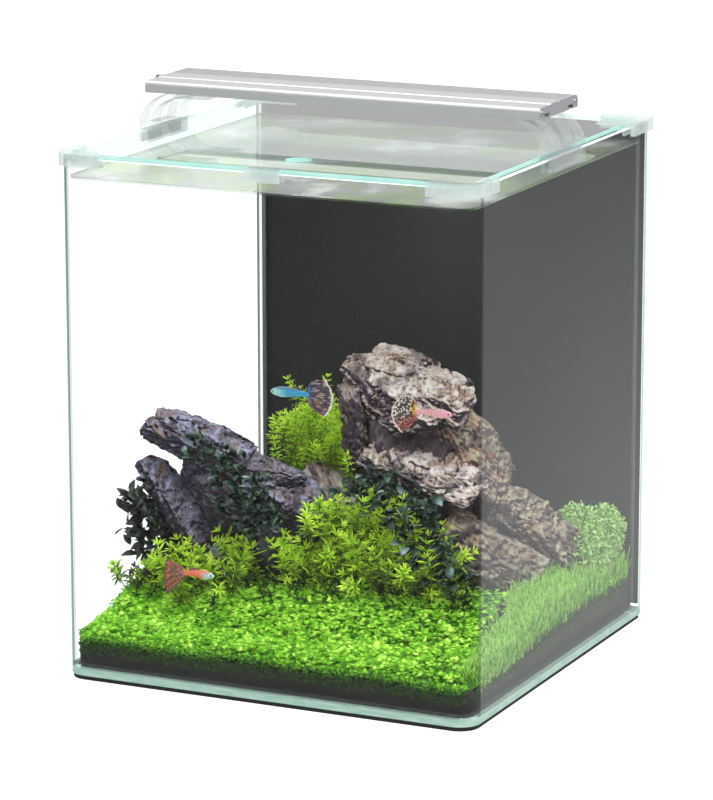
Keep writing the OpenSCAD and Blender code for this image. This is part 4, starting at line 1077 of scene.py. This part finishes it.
clip_look = clear_plastic("clip_plastic", shade(214, 234, 228), (0.34, 0.44, 0.42), 0.34)
dress(clip_look, "front_left_clip", "front_middle_clip", "front_right_clip", "rear_left_clip", "rear_right_clip")

# ---- The cover glass ----
# A loose sheet of float glass with rounded front corners and a finger hole. Its ground edges look
# pale cyan.

cover_pane = pane("cover_glass", lambda look: look.facing("Z").size().between(0.85, 0.6),
                  shade(150, 226, 216), 0.92, shade(236, 250, 247), 0.9, False, 0.7)
dress(cover_pane, "cover_glass")

# ---- The lamp brackets ----
# Two clear moulded brackets stand over the side rims on soft liners. Each has two ribbed legs that
# curve in and end in rails that run in the lamp's slots.

# Painted shade: the brackets' outlines are painted near black.
bracket_look = clear_plastic("bracket_plastic", shade(214, 220, 222), (0.10, 0.11, 0.12), 0.02, 0.3)
dress(bracket_look, "left_bracket", "right_bracket")
liner = Look("rim_liner")
liner.finish(liner.solid(
    Base_Color=liner.mix(liner.noise(6 * mm), shade(214, 222, 222), shade(236, 240, 240)),
    Roughness=0.5, Alpha=0.25, Normal=liner.bump(liner.noise(2 * mm), 0.1 * mm)))
dress(liner, "left_rim_pad", "right_rim_pad")

# ---- The lamp ----
# A flat aluminium extrusion, satin anodised, with fine ribs along the back of its top, closed by
# two plates with small screws. A milky lens below hides the board with its two rows of LEDs.


def satin_metal(name, dark, light, grain):
    """Anodised aluminium with drawing lines along X."""
    look = Look(name)
    lines = look.noise(grain, (0.01, 1, 1), 4.0, 0.6)
    cloud = look.noise(40 * mm, (0.3, 1, 1), 3.0)
    return look.finish(look.solid(
        Base_Color=look.mix(lines * 0.6 + cloud * 0.4, dark, light), Metallic=1.0,
        Roughness=lines * 0.15 + 0.4, Normal=look.bump(lines, 0.05 * mm, 0.5)))


dress(satin_metal("satin_aluminium", shade(166, 167, 169), shade(190, 191, 193), 0.5 * mm), "lamp_housing")
dress(satin_metal("cap_aluminium", shade(160, 161, 164), shade(190, 191, 194), 0.8 * mm),
      "left_end_cap", "right_end_cap")
screw_look = Look("bright_screws")
screw_look.finish(screw_look.solid(
    Base_Color=screw_look.mix(screw_look.noise(0.7 * mm), shade(150, 150, 152), shade(220, 220, 222)),
    Metallic=1.0, Roughness=screw_look.noise(0.5 * mm) * 0.2 + 0.2))
dress(screw_look, "end_cap_screws")
lens_look = Look("milky_lens")
lens_look.finish(lens_look.solid(
    Base_Color=lens_look.mix(lens_look.noise(20 * mm), shade(226, 226, 222), shade(246, 246, 242)), Roughness=0.35,
    Emission_Color=(1.0, 0.98, 0.94), Emission_Strength=0.6,
    Normal=lens_look.bump(lens_look.noise(1.2 * mm), 0.05 * mm)))
dress(lens_look, "lamp_lens")
board_look = Look("led_board")
board_look.finish(board_look.solid(
    Base_Color=board_look.mix(board_look.cells(6 * mm).between(0.4, 0.5), shade(232, 232, 226), shade(206, 208, 204)),
    Roughness=0.4))
dress(board_look, "led_board")
led_look = Look("leds")
led_look.finish(led_look.solid(
    Base_Color=led_look.mix(led_look.noise(1 * mm), shade(240, 214, 110), shade(250, 236, 170)), Roughness=0.3))
dress(led_look, "leds")
gland_look = Look("cable_gland")
gland_look.finish(gland_look.solid(
    Base_Color=gland_look.mix(gland_look.noise(2 * mm), shade(34, 34, 36), shade(56, 56, 58)),
    Roughness=gland_look.noise(1 * mm) * 0.2 + 0.5, Normal=gland_look.bump(gland_look.noise(0.8 * mm), 0.05 * mm)))
dress(gland_look, "cable_gland")

# ---- The studio ----
# A white floor, an even white surround, one wide soft light overhead and a long narrow one high
# at the front left that draws the highlight along the lamp's front edge.

scene = bpy.context.scene
scene.view_settings.view_transform = "Standard"
surround = bpy.data.worlds.new("surround")
surround.use_nodes = True
sky_tree = surround.node_tree
paths = sky_tree.nodes.new("ShaderNodeLightPath")
either = sky_tree.nodes.new("ShaderNodeMath")
either.operation = "MAXIMUM"
level = sky_tree.nodes.new("ShaderNodeMapRange")
level.inputs["To Min"].default_value, level.inputs["To Max"].default_value = 0.5, 1.0
sky_tree.links.new(paths.outputs["Is Camera Ray"], either.inputs[0])
sky_tree.links.new(paths.outputs["Is Glossy Ray"], either.inputs[1])
sky_tree.links.new(either.outputs["Value"], level.inputs["Value"])
sky_tree.links.new(level.outputs["Result"], sky_tree.nodes["Background"].inputs["Strength"])
sky_tree.nodes["Background"].inputs["Color"].default_value = (1, 1, 1, 1)
scene.world = surround

floor_look = Look("studio_floor")
floor_white = floor_look.mix(floor_look.noise(0.5), (0.90, 0.90, 0.90), (0.93, 0.93, 0.93))
floor_glow = floor_look.node("ShaderNodeEmission", None, {"Color": (1, 1, 1), "Strength": 1.3})
floor_seen = floor_look.node("ShaderNodeLightPath", output="Is Camera Ray")
floor_look.finish(floor_look.blend(floor_seen * 0.85, floor_look.solid(Base_Color=floor_white, Roughness=0.9),
                                   floor_glow))
reach = 12.0
floor_mesh = bpy.data.meshes.new("studio_floor")
floor_mesh.from_pydata([(-reach, -reach, 0), (reach, -reach, 0), (reach, reach, 0), (-reach, reach, 0)], [],
                       [(0, 1, 2, 3)])
floor_mesh.materials.append(floor_look.material)
studio_floor = bpy.data.objects.new("studio_floor", floor_mesh)
scene.collection.objects.link(studio_floor)


def soft_light(name, spot, target, width, height, power):
    """A rectangular light at spot that faces target."""
    lamp = bpy.data.lights.new(name, "AREA")
    lamp.shape, lamp.size, lamp.size_y, lamp.energy = "RECTANGLE", width, height, power
    lamp.use_shadow = True
    made = bpy.data.objects.new(name, lamp)
    scene.collection.objects.link(made)
    made.location = spot
    aim = np.array(target) - np.array(spot)
    made.rotation_euler = (math.atan2(math.hypot(aim[0], aim[1]), -aim[2]), 0, math.atan2(-aim[0], aim[1]))
    return made


soft_light("overhead", (0.35, -0.25, 1.5), (0, 0, 0.1), 0.9, 0.9, 26)
soft_light("nose_strip", (-0.45, -0.15, 1.3), (0, 0, 0.39), 1.0, 0.1, 4)

camera_data = bpy.data.cameras.new("camera")
camera_data.lens, camera_data.sensor_width = 184.27, 36
camera = bpy.data.objects.new("camera", camera_data)
scene.collection.objects.link(camera)
camera.location = (1.15455, -2.47048, 0.80730)
camera.rotation_euler = (math.radians(90 - 13.044), math.radians(0.04), math.radians(25.078))
camera_data.clip_start, camera_data.clip_end = 0.05, 60
scene.camera = camera
